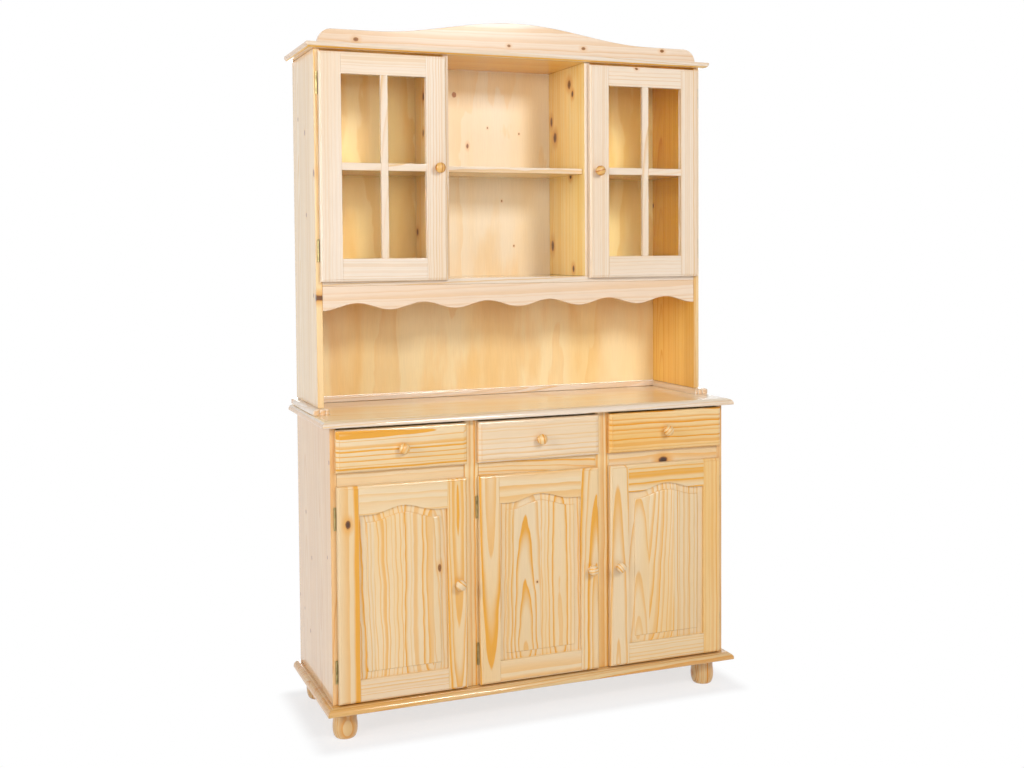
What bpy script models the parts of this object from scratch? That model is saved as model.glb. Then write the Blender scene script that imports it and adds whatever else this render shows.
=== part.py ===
"""A lacquered-pine display cabinet: a base with three drawers and three raised-panel doors on bun feet,
and a hutch above it with two glazed doors, open shelves, a scalloped apron, a niche and a crown board.

Metres, +Z up, front towards -Y. The origin is on the floor, in the middle of the cabinet's bounding box.
"""

import math

import bmesh
import bpy
from mathutils import Vector

# Clearances
GAP = 0.0003
DOOR_GAP = 0.0015
DRAWER_SIDE_CLEARANCE = 0.003

# Boards
BOARD = 0.018
BACK_THICKNESS = 0.006
BACK_RECESS = 0.004

# Base
BASE_WIDTH = 1.230
BASE_DEPTH = 0.420
FOOT_HEIGHT = 0.086
FOOT_RADIUS = 0.0355
FOOT_NECK_RADIUS = 0.0315
FOOT_FLAT_RADIUS = 0.021
FOOT_BELLY_HEIGHT = 0.030
FOOT_INSET = 0.044
PLINTH_THICKNESS = 0.020
PLINTH_FRONT_OVERHANG = 0.038
PLINTH_SIDE_OVERHANG = 0.022
PLINTH_ROUND = 0.015
CARCASS_STILE = 0.044
DOOR_OPENING_HEIGHT = 0.602
RAIL_HEIGHT = 0.044
DECK_THICKNESS = 0.012
DRAWER_OPENING_HEIGHT = 0.123
WORKTOP_THICKNESS = 0.019
WORKTOP_FRONT_OVERHANG = 0.030
WORKTOP_SIDE_OVERHANG = 0.026
WORKTOP_ROUND = 0.016

# Base doors
DOOR_OVERLAP = 0.0035
DOOR_BOTTOM_CLEARANCE = 0.003
DOOR_STILE = 0.060
DOOR_BOTTOM_RAIL = 0.064
DOOR_TOP_RAIL = 0.082
DOOR_EDGE_ROUND = 0.005
ARCH_RISE = 0.020
ARCH_HALF_SPAN = 0.095
ARCH_STEPS = 16
GROOVE_DEPTH = 0.008
GROOVE_SETBACK = 0.006
TONGUE_THICKNESS = 0.006
PANEL_BEVEL = 0.020
PANEL_FIELD_SETBACK = 0.0015
PANEL_QUIRK = 0.0015
KNOB_FROM_EDGE = 0.027

# Drawers
DRAWER_OVERLAP = 0.0055
DRAWER_BOTTOM_OVERLAP = 0.003
DRAWER_TOP_CLEARANCE = 0.007
DRAWER_EDGE_BEVEL = 0.010
DRAWER_BOX_DEPTH = 0.360
DRAWER_BOX_HEIGHT = 0.095
DRAWER_WALL = 0.012
DRAWER_FLOOR = 0.006

# Hutch
HUTCH_SETBACK = 0.138
SHOE_HEIGHT = 0.017
SHOE_OUTER = 0.018
SHOE_INNER = 0.010
SHOE_FRONT = 0.028
SHOE_BACK_DEPTH = 0.030
SHOE_ROUND = 0.006
NICHE_HEIGHT = 0.361
APRON_HEIGHT = 0.069
APRON_WAVE = 0.020
APRON_SCALLOPS = 6
APRON_STEPS = 12
CUPBOARD_HEIGHT = 0.648
CENTRE_WIDTH = 0.436
SHELF_THICKNESS = 0.016
SHELF_SETBACK = 0.015
CORNICE_THICKNESS = 0.016
CORNICE_OVERHANG = 0.024
CORNICE_ROUND = 0.011
CROWN_END_INSET = 0.013
CROWN_SHOULDER = 0.041
CROWN_RISE = 0.046
CROWN_HALF_SPAN = 0.440
CROWN_CORNER = 0.040
CROWN_STEPS = 32
CORNER_STEPS = 8

# Glazed doors
GLASS_DOOR_OVERLAP = 0.0075
GLASS_DOOR_BOTTOM_OVERLAP = 0.006
GLASS_DOOR_TOP_CLEARANCE = 0.007
GLASS_DOOR_STILE = 0.063
GLASS_DOOR_TOP_RAIL = 0.062
GLASS_DOOR_BOTTOM_RAIL = 0.066
GLAZING_BAR = 0.021
GLASS_THICKNESS = 0.003
REBATE_WIDTH = 0.008
REBATE_DEPTH = 0.006

# Knobs and hinges
KNOB_LENGTH = 0.028
KNOB_RADIUS = 0.0155
KNOB_NECK_RADIUS = 0.0085
KNOB_COLLAR_RADIUS = 0.0105
KNOB_COLLAR_LENGTH = 0.005
KNOB_BALL_HALF_LENGTH = 0.0115
HINGE_RADIUS = 0.003
HINGE_LENGTH = 0.064
HINGE_FROM_END = 0.057
LEAF_THICKNESS = 0.0008
LEAF_DEPTH = 0.015

ROUND_STEPS = 22
BALL_STEPS = 5
BARREL_STEPS = 12
CUT_MARGIN = 0.01

# Levels, from the floor up
PLINTH_TOP = FOOT_HEIGHT + PLINTH_THICKNESS
RAIL_BOTTOM = PLINTH_TOP + DOOR_OPENING_HEIGHT
RAIL_TOP = RAIL_BOTTOM + RAIL_HEIGHT
WORKTOP_BOTTOM = RAIL_TOP + DRAWER_OPENING_HEIGHT
WORKTOP_TOP = WORKTOP_BOTTOM + WORKTOP_THICKNESS
SHOE_TOP = WORKTOP_TOP + GAP + SHOE_HEIGHT
FLOOR_BOTTOM = WORKTOP_TOP + NICHE_HEIGHT
FLOOR_TOP = FLOOR_BOTTOM + BOARD
CORNICE_BOTTOM = FLOOR_TOP + CUPBOARD_HEIGHT
CORNICE_TOP = CORNICE_BOTTOM + CORNICE_THICKNESS

# Depths, from front to back: the knobs reach furthest forward
KNOB_REACH = DOOR_GAP + BOARD + GAP + KNOB_LENGTH
FRONT = (KNOB_REACH - BASE_DEPTH) / 2
BACK = FRONT + BASE_DEPTH
HUTCH_FRONT = FRONT + HUTCH_SETBACK
BACK_PANEL_FRONT = BACK - BACK_RECESS - BACK_THICKNESS
INNER_BACK = BACK_PANEL_FRONT - GAP

# Widths
SIDE_OUTER = BASE_WIDTH / 2
SIDE_INNER = SIDE_OUTER - BOARD
BAY_WIDTH = (BASE_WIDTH - 2 * BOARD - 2 * CARCASS_STILE) / 3
STILE_CENTRE = BAY_WIDTH / 2 + CARCASS_STILE / 2
CENTRE_HALF = CENTRE_WIDTH / 2
CUPBOARD_INNER = CENTRE_HALF + BOARD

# Doors, from the openings that they close
DOOR_BOTTOM = PLINTH_TOP + DOOR_BOTTOM_CLEARANCE
DOOR_TOP = RAIL_BOTTOM + DOOR_OVERLAP
GLASS_DOOR_BOTTOM = FLOOR_TOP - GLASS_DOOR_BOTTOM_OVERLAP
GLASS_DOOR_TOP = CORNICE_BOTTOM - GLASS_DOOR_TOP_CLEARANCE
PANE_BOTTOM = GLASS_DOOR_BOTTOM + GLASS_DOOR_BOTTOM_RAIL
PANE_TOP = GLASS_DOOR_TOP - GLASS_DOOR_TOP_RAIL
SHELF_MIDDLE = (PANE_BOTTOM + PANE_TOP) / 2

PINE = (0.80, 0.58, 0.30)
PALE_PINE = (0.86, 0.68, 0.42)
AMBER_PINE = (0.74, 0.46, 0.17)
BRASS = (0.42, 0.34, 0.14)
GLASS = (0.90, 0.95, 0.93)


def new_collection(name):
    """Make a collection in the scene."""
    collection = bpy.data.collections.new(name)
    bpy.context.scene.collection.children.link(collection)
    return collection


def paint(obj, colour, roughness=0.4, metallic=0.0, transmission=0.0):
    """Give a piece its own Principled material."""
    material = bpy.data.materials.new(obj.name + "_finish")
    material.use_nodes = True
    shader = material.node_tree.nodes["Principled BSDF"]
    shader.inputs["Base Color"].default_value = (*colour, 1.0)
    shader.inputs["Roughness"].default_value = roughness
    shader.inputs["Metallic"].default_value = metallic
    shader.inputs["Transmission Weight"].default_value = transmission
    obj.data.materials.clear()
    obj.data.materials.append(material)
    return obj


def link(name, data, location=(0, 0, 0), collection=None):
    """Place mesh or curve data in the scene as a named object."""
    obj = bpy.data.objects.new(name, data)
    obj.location = location
    (collection or parts).objects.link(obj)
    return obj


def axis_empty(name, location):
    """Mark a joint's axis: the pieces that move on it are its children."""
    empty = bpy.data.objects.new(name, None)
    empty.location = location
    empty.empty_display_size = 0.05
    parts.objects.link(empty)
    return empty


def hang(obj, empty):
    """Parent a piece to its joint's axis and leave it where it stands."""
    obj.parent = empty
    obj.location = Vector(obj.location) - Vector(empty.location)
    return obj


def board(name, low, high, collection=None):
    """A rectangular board between two corners, with its origin at its middle."""
    low = Vector(low)
    high = Vector(high)
    mesh = bpy.data.meshes.new(name)
    bm = bmesh.new()
    bmesh.ops.create_cube(bm, size=1.0)
    bmesh.ops.scale(bm, vec=high - low, verts=bm.verts)
    bm.to_mesh(mesh)
    bm.free()
    return link(name, mesh, (low + high) / 2, collection)


def cutter_style(obj):
    """Mark an object as a tool that shapes others and isn't a piece itself."""
    obj.hide_render = True
    obj.display_type = "WIRE"
    return obj


def tool_board(name, low, high):
    """A box that is cut from a piece, or joined to one."""
    return cutter_style(board(name, low, high, cutters))


def combine(obj, tool, operation):
    """Cut a tool from a piece, or join it on."""
    modifier = obj.modifiers.new(tool.name, "BOOLEAN")
    modifier.object = tool
    modifier.operation = operation
    modifier.solver = "EXACT"
    return obj


def ease_edges(obj, width, segments, chosen):
    """Round the edges whose middle passes the test, by the same width."""
    bm = bmesh.new()
    bm.from_mesh(obj.data)
    weight = bm.edges.layers.float.new("bevel_weight_edge")
    for edge in bm.edges:
        middle = (edge.verts[0].co + edge.verts[1].co) / 2
        along = edge.verts[1].co - edge.verts[0].co
        if chosen(middle, along):
            edge[weight] = 1.0
    bm.to_mesh(obj.data)
    bm.free()
    bevel = obj.modifiers.new("eased_edges", "BEVEL")
    bevel.limit_method = "WEIGHT"
    bevel.width = width
    bevel.segments = segments
    return obj


def flat_outline(name, points, thickness, location, collection=None):
    """A flat piece cut to an outline in X and Z, of a given thickness in Y."""
    curve = bpy.data.curves.new(name, "CURVE")
    curve.dimensions = "2D"
    curve.fill_mode = "BOTH"
    curve.extrude = thickness / 2
    spline = curve.splines.new("POLY")
    spline.points.add(len(points) - 1)
    for point, (x, z) in zip(spline.points, points):
        point.co = (x, z, 0, 1)
    spline.use_cyclic_u = True
    obj = link(name, curve, location, collection)
    obj.rotation_euler = (math.pi / 2, 0, 0)
    return obj


def solid_outline(name, points, thickness, location, collection=None):
    """The same as a closed mesh, so that it can cut or be cut."""
    flat = flat_outline(name + "_outline", points, thickness, location, collection)
    bpy.context.view_layer.update()
    evaluated = flat.evaluated_get(bpy.context.evaluated_depsgraph_get())
    mesh = bpy.data.meshes.new_from_object(evaluated)
    mesh.name = name
    bm = bmesh.new()
    bm.from_mesh(mesh)
    bmesh.ops.remove_doubles(bm, verts=bm.verts, dist=0.00001)
    bmesh.ops.recalc_face_normals(bm, faces=bm.faces)
    bm.to_mesh(mesh)
    bm.free()
    obj = link(name, mesh, (0, 0, 0), collection)
    obj.matrix_world = flat.matrix_world.copy()
    bpy.data.objects.remove(flat)
    return obj


def turned(name, profile, location, rotation=(0, 0, 0)):
    """A turned piece: a profile of radius and height, from its top down its outer side."""
    mesh = bpy.data.meshes.new(name)
    points = [(radius, 0, height) for radius, height in profile]
    mesh.from_pydata(points, [(i, i + 1) for i in range(len(points) - 1)], [])
    obj = link(name, mesh, location)
    obj.rotation_euler = rotation
    screw = obj.modifiers.new("turned", "SCREW")
    screw.steps = ROUND_STEPS
    screw.render_steps = ROUND_STEPS
    screw.use_merge_vertices = True
    screw.merge_threshold = 0.00001
    screw.use_smooth_shade = True
    return obj


def loft(name, rings, location):
    """A closed solid through like rings of points, capped at the first and the last."""
    mesh = bpy.data.meshes.new(name)
    bm = bmesh.new()
    loops = [[bm.verts.new(point) for point in ring] for ring in rings]
    for near, far in zip(loops, loops[1:]):
        for i in range(len(near)):
            j = (i + 1) % len(near)
            bm.faces.new((near[i], near[j], far[j], far[i]))
    bm.faces.new(loops[0])
    bm.faces.new(loops[-1])
    bmesh.ops.recalc_face_normals(bm, faces=bm.faces)
    bm.to_mesh(mesh)
    bm.free()
    return link(name, mesh, location)


def moulded_board(name, low, high, rounding, upper):
    """A board whose upper or lower edge is rounded at the front and at both ends."""
    obj = board(name, low, high)
    depth = high[1] - low[1]

    def on_moulded_rim(middle, along):
        right_level = middle.z > 0 if upper else middle.z < 0
        return right_level and abs(along.z) < GAP and middle.y < depth / 2 - GAP

    return ease_edges(obj, rounding, 4, on_moulded_rim)


def quarter_turn(centre, radius, start, steps):
    """Points on a quarter of a circle, anticlockwise in X and Z from an angle."""
    points = []
    for i in range(steps + 1):
        angle = start + math.pi / 2 * i / steps
        points.append((centre[0] + radius * math.cos(angle), centre[1] + radius * math.sin(angle)))
    return points


def foot_profile():
    """A bun foot from its top down: a slight neck, a belly and a rounded sole."""
    profile = [(0, FOOT_HEIGHT - GAP), (FOOT_NECK_RADIUS, FOOT_HEIGHT - GAP)]
    for i in range(1, BALL_STEPS + 1):
        share = i / BALL_STEPS
        swell = (1 - math.cos(math.pi * share)) / 2
        radius = FOOT_NECK_RADIUS + (FOOT_RADIUS - FOOT_NECK_RADIUS) * swell
        profile.append((radius, FOOT_HEIGHT - GAP - (FOOT_HEIGHT - GAP - FOOT_BELLY_HEIGHT) * share))
    for i in range(1, BALL_STEPS + 1):
        angle = math.pi / 2 * i / BALL_STEPS
        radius = FOOT_FLAT_RADIUS + (FOOT_RADIUS - FOOT_FLAT_RADIUS) * math.cos(angle)
        profile.append((radius, FOOT_BELLY_HEIGHT * (1 - math.sin(angle))))
    profile.append((0, 0))
    return profile


def knob_profile():
    """A turned knob from its tip down: a flattened ball, a neck and a collar."""
    middle = KNOB_LENGTH - KNOB_BALL_HALF_LENGTH
    neck_angle = math.acos(KNOB_NECK_RADIUS / KNOB_RADIUS)
    profile = []
    for i in range(2 * BALL_STEPS + 1):
        angle = math.pi / 2 - (math.pi / 2 + neck_angle) * i / (2 * BALL_STEPS)
        profile.append((KNOB_RADIUS * math.cos(angle), middle + KNOB_BALL_HALF_LENGTH * math.sin(angle)))
    profile[0] = (0, KNOB_LENGTH)
    profile.append((KNOB_COLLAR_RADIUS, KNOB_COLLAR_LENGTH))
    profile.append((KNOB_COLLAR_RADIUS, 0))
    profile.append((0, 0))
    return profile


def add_knob(name, x, z, face, empty):
    """A knob on a front whose face is at the given depth, pointing forward."""
    knob = turned(name, knob_profile(), (x, face - GAP, z), (math.pi / 2, 0, 0))
    paint(knob, PINE, 0.35)
    return hang(knob, empty)


def add_feet():
    """Four bun feet under the plinth board."""
    x = SIDE_OUTER - FOOT_INSET
    places = {
        "front_left": (-x, FRONT + FOOT_INSET),
        "front_right": (x, FRONT + FOOT_INSET),
        "rear_left": (-x, BACK - FOOT_INSET),
        "rear_right": (x, BACK - FOOT_INSET),
    }
    for place, (foot_x, foot_y) in places.items():
        paint(turned("foot_" + place, foot_profile(), (foot_x, foot_y, 0)), AMBER_PINE)


def add_divider(name, centre):
    """A base partition behind a wider front stile, slotted for the drawer deck."""
    bottom = PLINTH_TOP + GAP
    top = WORKTOP_BOTTOM - GAP
    stile_half = CARCASS_STILE / 2
    divider = board(
        name,
        (centre - stile_half, FRONT, bottom),
        (centre + stile_half, FRONT + BOARD, top),
    )
    partition = tool_board(
        name + "_partition",
        (centre - BOARD / 2, FRONT + BOARD / 2, bottom),
        (centre + BOARD / 2, INNER_BACK, top),
    )
    slot = tool_board(
        name + "_slot",
        (centre - BOARD, FRONT + BOARD, RAIL_TOP - DECK_THICKNESS - GAP),
        (centre + BOARD, BACK, RAIL_TOP + GAP),
    )
    combine(divider, partition, "UNION")
    combine(divider, slot, "DIFFERENCE")
    return paint(divider, PINE)


def add_drawer_deck():
    """The board that the drawers run on, with a rail below its front edge in each bay."""
    deck = board(
        "drawer_deck",
        (-SIDE_INNER + GAP, FRONT, RAIL_TOP - DECK_THICKNESS),
        (SIDE_INNER - GAP, INNER_BACK, RAIL_TOP),
    )
    rail = tool_board(
        "drawer_deck_rail",
        (-SIDE_INNER + GAP, FRONT, RAIL_BOTTOM),
        (SIDE_INNER - GAP, FRONT + BOARD, RAIL_TOP - DECK_THICKNESS / 2),
    )
    combine(deck, rail, "UNION")
    for side, centre in (("left", -STILE_CENTRE), ("right", STILE_CENTRE)):
        notch = tool_board(
            "drawer_deck_notch_" + side,
            (centre - CARCASS_STILE / 2 - GAP, FRONT - CUT_MARGIN, RAIL_BOTTOM - CUT_MARGIN),
            (centre + CARCASS_STILE / 2 + GAP, FRONT + BOARD + GAP, RAIL_TOP + CUT_MARGIN),
        )
        combine(deck, notch, "DIFFERENCE")
    return paint(deck, PINE)


def add_base_carcass():
    """Feet, plinth board, sides, dividers, drawer deck, back and worktop."""
    add_feet()
    plinth_x = SIDE_OUTER + PLINTH_SIDE_OVERHANG
    plinth = moulded_board(
        "plinth_board",
        (-plinth_x, FRONT - PLINTH_FRONT_OVERHANG, FOOT_HEIGHT),
        (plinth_x, BACK, PLINTH_TOP),
        PLINTH_ROUND,
        upper=True,
    )
    paint(plinth, PINE)
    for side, sign in (("left", -1), ("right", 1)):
        edges = sorted((sign * SIDE_OUTER, sign * SIDE_INNER))
        panel = board(
            "base_side_" + side,
            (edges[0], FRONT, PLINTH_TOP + GAP),
            (edges[1], BACK, WORKTOP_BOTTOM - GAP),
        )
        paint(panel, PALE_PINE)
        add_divider("base_divider_" + side, sign * STILE_CENTRE)
    add_drawer_deck()
    back = board(
        "base_back_panel",
        (-SIDE_INNER + GAP, BACK_PANEL_FRONT, PLINTH_TOP + GAP),
        (SIDE_INNER - GAP, BACK - BACK_RECESS, WORKTOP_BOTTOM - GAP),
    )
    paint(back, AMBER_PINE)
    worktop_x = SIDE_OUTER + WORKTOP_SIDE_OVERHANG
    worktop = moulded_board(
        "worktop",
        (-worktop_x, FRONT - WORKTOP_FRONT_OVERHANG, WORKTOP_BOTTOM),
        (worktop_x, BACK, WORKTOP_TOP),
        WORKTOP_ROUND,
        upper=True,
    )
    paint(worktop, PALE_PINE)


def add_hutch_base_frame():
    """The moulded frame that the hutch stands on: a shoe under each side, joined along the back."""
    bottom = WORKTOP_TOP + GAP
    shoe_front = HUTCH_FRONT - SHOE_FRONT
    outer = SIDE_OUTER + SHOE_OUTER
    inner = SIDE_INNER - SHOE_INNER
    frame = board(
        "hutch_base_frame",
        (-outer, shoe_front, bottom),
        (outer, BACK, SHOE_TOP),
    )

    def on_upper_end(middle, along):
        return middle.z > 0 and abs(along.y) > GAP

    ease_edges(frame, SHOE_ROUND, 2, on_upper_end)
    opening = tool_board(
        "hutch_base_frame_opening",
        (-inner, shoe_front - CUT_MARGIN, bottom - CUT_MARGIN),
        (inner, BACK - SHOE_BACK_DEPTH, SHOE_TOP + CUT_MARGIN),
    )
    combine(frame, opening, "DIFFERENCE")
    return paint(frame, PALE_PINE)


def apron_outline():
    """A straight top edge and a row of scallops below it."""
    half = SIDE_INNER - GAP
    width = 2 * half
    count = APRON_SCALLOPS * APRON_STEPS
    points = [(half, 0), (-half, 0)]
    for i in range(count + 1):
        turn = 2 * math.pi * i / APRON_STEPS
        lift = APRON_WAVE * (1 - math.cos(turn)) / 2
        points.append((-half + width * i / count, -APRON_HEIGHT + lift))
    return points


def crown_outline():
    """A straight foot, round ends, level shoulders and a wave up to the middle."""
    half = SIDE_OUTER - CROWN_END_INSET
    points = [(-half, 0), (half, 0)]
    corner_level = CROWN_SHOULDER - CROWN_CORNER
    points += quarter_turn((half - CROWN_CORNER, corner_level), CROWN_CORNER, 0, CORNER_STEPS)
    for i in range(CROWN_STEPS + 1):
        x = CROWN_HALF_SPAN * (1 - 2 * i / CROWN_STEPS)
        wave = (1 + math.cos(math.pi * x / CROWN_HALF_SPAN)) / 2
        points.append((x, CROWN_SHOULDER + CROWN_RISE * wave))
    points += quarter_turn(
        (-half + CROWN_CORNER, corner_level), CROWN_CORNER, math.pi / 2, CORNER_STEPS
    )
    return points


def add_hutch_carcass():
    """Base frame, sides, floor, dividers, shelves, apron, back, cornice and crown."""
    add_hutch_base_frame()
    for side, sign in (("left", -1), ("right", 1)):
        edges = sorted((sign * SIDE_OUTER, sign * SIDE_INNER))
        panel = board(
            "hutch_side_" + side,
            (edges[0], HUTCH_FRONT, SHOE_TOP + GAP),
            (edges[1], BACK, CORNICE_BOTTOM - GAP),
        )
        paint(panel, PALE_PINE)
        edges = sorted((sign * CENTRE_HALF, sign * CUPBOARD_INNER))
        divider = board(
            "hutch_divider_" + side,
            (edges[0], HUTCH_FRONT, FLOOR_TOP + GAP),
            (edges[1], INNER_BACK, CORNICE_BOTTOM - GAP),
        )
        paint(divider, PINE)
    floor = board(
        "hutch_floor_board",
        (-SIDE_INNER + GAP, HUTCH_FRONT, FLOOR_BOTTOM),
        (SIDE_INNER - GAP, INNER_BACK, FLOOR_TOP),
    )
    paint(floor, PALE_PINE)
    shelf_spans = {
        "left": (-SIDE_INNER, -CUPBOARD_INNER),
        "centre": (-CENTRE_HALF, CENTRE_HALF),
        "right": (CUPBOARD_INNER, SIDE_INNER),
    }
    for place, (x_low, x_high) in shelf_spans.items():
        shelf = board(
            "hutch_shelf_" + place,
            (x_low + GAP, HUTCH_FRONT + SHELF_SETBACK, SHELF_MIDDLE - SHELF_THICKNESS / 2),
            (x_high - GAP, INNER_BACK, SHELF_MIDDLE + SHELF_THICKNESS / 2),
        )
        paint(shelf, PINE)
    apron = solid_outline(
        "scalloped_apron", apron_outline(), BOARD, (0, HUTCH_FRONT + BOARD / 2, FLOOR_BOTTOM - GAP)
    )
    paint(apron, PALE_PINE)
    back = board(
        "hutch_back_panel",
        (-SIDE_INNER + GAP, BACK_PANEL_FRONT, SHOE_TOP + GAP),
        (SIDE_INNER - GAP, BACK - BACK_RECESS, CORNICE_BOTTOM - GAP),
    )
    paint(back, AMBER_PINE)
    cornice_x = SIDE_OUTER + CORNICE_OVERHANG
    cornice = moulded_board(
        "cornice_board",
        (-cornice_x, HUTCH_FRONT - CORNICE_OVERHANG, CORNICE_BOTTOM),
        (cornice_x, BACK, CORNICE_TOP),
        CORNICE_ROUND,
        upper=False,
    )
    paint(cornice, PALE_PINE)
    crown = solid_outline(
        "crown_board", crown_outline(), BOARD, (0, HUTCH_FRONT + BOARD / 2, CORNICE_TOP + GAP)
    )
    paint(crown, PALE_PINE)


def hinge_axis(opening_edge, overlap, sign, carcass_front):
    """Where a door turns: beside its hinge edge, just in front of the carcass."""
    reach = overlap + GAP + HINGE_RADIUS
    return (opening_edge + sign * reach, carcass_front - GAP - HINGE_RADIUS)


def add_hinges(door, opening_edge, axis, sign, carcass_front, levels):
    """Two cranked hinges: a barrel, and a leaf that turns in along the opening's edge."""
    for place, level in levels.items():
        name = door + "_hinge_" + place
        mesh = bpy.data.meshes.new(name)
        bm = bmesh.new()
        bmesh.ops.create_cone(
            bm,
            cap_ends=True,
            segments=BARREL_STEPS,
            radius1=HINGE_RADIUS,
            radius2=HINGE_RADIUS,
            depth=HINGE_LENGTH,
        )
        bm.to_mesh(mesh)
        bm.free()
        hinge = link(name, mesh, (axis[0], axis[1], level))
        leaf_front = carcass_front - GAP - LEAF_THICKNESS
        fold = opening_edge - sign * GAP
        inner_fold = fold - sign * LEAF_THICKNESS
        low = level - HINGE_LENGTH / 2
        high = level + HINGE_LENGTH / 2
        strap_edges = sorted((axis[0], inner_fold))
        strap = tool_board(
            name + "_strap",
            (strap_edges[0], leaf_front, low),
            (strap_edges[1], carcass_front - GAP, high),
        )
        leaf_edges = sorted((fold, inner_fold))
        leaf = tool_board(
            name + "_leaf",
            (leaf_edges[0], leaf_front, low),
            (leaf_edges[1], carcass_front + LEAF_DEPTH, high),
        )
        combine(hinge, strap, "UNION")
        combine(hinge, leaf, "UNION")
        paint(hinge, BRASS, 0.35, 1.0)


def hinge_levels(bottom, top):
    """The middles of a door's two hinges."""
    return {
        "upper": top - HINGE_FROM_END - HINGE_LENGTH / 2,
        "lower": bottom + HINGE_FROM_END + HINGE_LENGTH / 2,
    }


def eased_front(name, low, high, width, segments):
    """A door frame or drawer front whose outer front edges are rounded."""
    obj = board(name, low, high)

    def on_front_rim(middle, along):
        return middle.y < 0 and abs(along.y) < GAP

    return ease_edges(obj, width, segments, on_front_rim)


def arched_outline(half_width, bottom, shoulder, grow):
    """An opening with a wave in its top edge, grown outwards all round."""
    half = half_width + grow
    points = [(-half, bottom - grow), (half, bottom - grow), (half, shoulder + grow)]
    for i in range(ARCH_STEPS + 1):
        x = ARCH_HALF_SPAN * (1 - 2 * i / ARCH_STEPS)
        wave = (1 + math.cos(math.pi * x / ARCH_HALF_SPAN)) / 2
        points.append((x, shoulder + grow + ARCH_RISE * wave))
    points.append((-half, shoulder + grow))
    return points


def add_base_door(name, centre, hinge_sign):
    """A framed door with a raised panel under a waved top rail, its knob and its hinges."""
    half = BAY_WIDTH / 2 + DOOR_OVERLAP
    back = FRONT - DOOR_GAP
    face = back - BOARD
    opening_edge = centre + hinge_sign * BAY_WIDTH / 2
    axis = hinge_axis(opening_edge, DOOR_OVERLAP, hinge_sign, FRONT)
    empty = axis_empty(name + "_axis", (axis[0], axis[1], DOOR_BOTTOM))
    frame = eased_front(
        name + "_frame", (centre - half, face, DOOR_BOTTOM), (centre + half, back, DOOR_TOP), DOOR_EDGE_ROUND, 3
    )
    half_opening = half - DOOR_STILE
    sill = DOOR_BOTTOM + DOOR_BOTTOM_RAIL
    shoulder = DOOR_TOP - DOOR_TOP_RAIL
    groove_front = face + GROOVE_SETBACK
    groove_width = TONGUE_THICKNESS + 2 * GAP
    cuts = {
        "_opening": (0, BOARD + 2 * CUT_MARGIN, face + BOARD / 2),
        "_groove": (GROOVE_DEPTH, groove_width, groove_front + groove_width / 2),
    }
    for suffix, (grow, thickness, y) in cuts.items():
        outline = arched_outline(half_opening, sill, shoulder, grow)
        tool = cutter_style(solid_outline(name + suffix, outline, thickness, (centre, y, 0), cutters))
        combine(frame, tool, "DIFFERENCE")
    hang(paint(frame, PINE), empty)
    tongue_front = groove_front + GAP
    field_front = face + PANEL_FIELD_SETBACK
    sections = (
        (GROOVE_DEPTH - GAP, tongue_front + TONGUE_THICKNESS),
        (GROOVE_DEPTH - GAP, tongue_front),
        (-GAP, tongue_front),
        (-PANEL_BEVEL, field_front + PANEL_QUIRK),
        (-PANEL_BEVEL, field_front),
    )
    rings = []
    for grow, y in sections:
        outline = arched_outline(half_opening, sill, shoulder, grow)
        rings.append([(x, y, z) for x, z in outline])
    panel = loft(name + "_panel", rings, (centre, 0, 0))
    hang(paint(panel, PALE_PINE), empty)
    knob_x = centre - hinge_sign * (half - KNOB_FROM_EDGE)
    add_knob(name + "_knob", knob_x, (DOOR_BOTTOM + DOOR_TOP) / 2, face, empty)
    levels = hinge_levels(DOOR_BOTTOM, DOOR_TOP)
    add_hinges(name, opening_edge, axis, hinge_sign, FRONT, levels)


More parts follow.
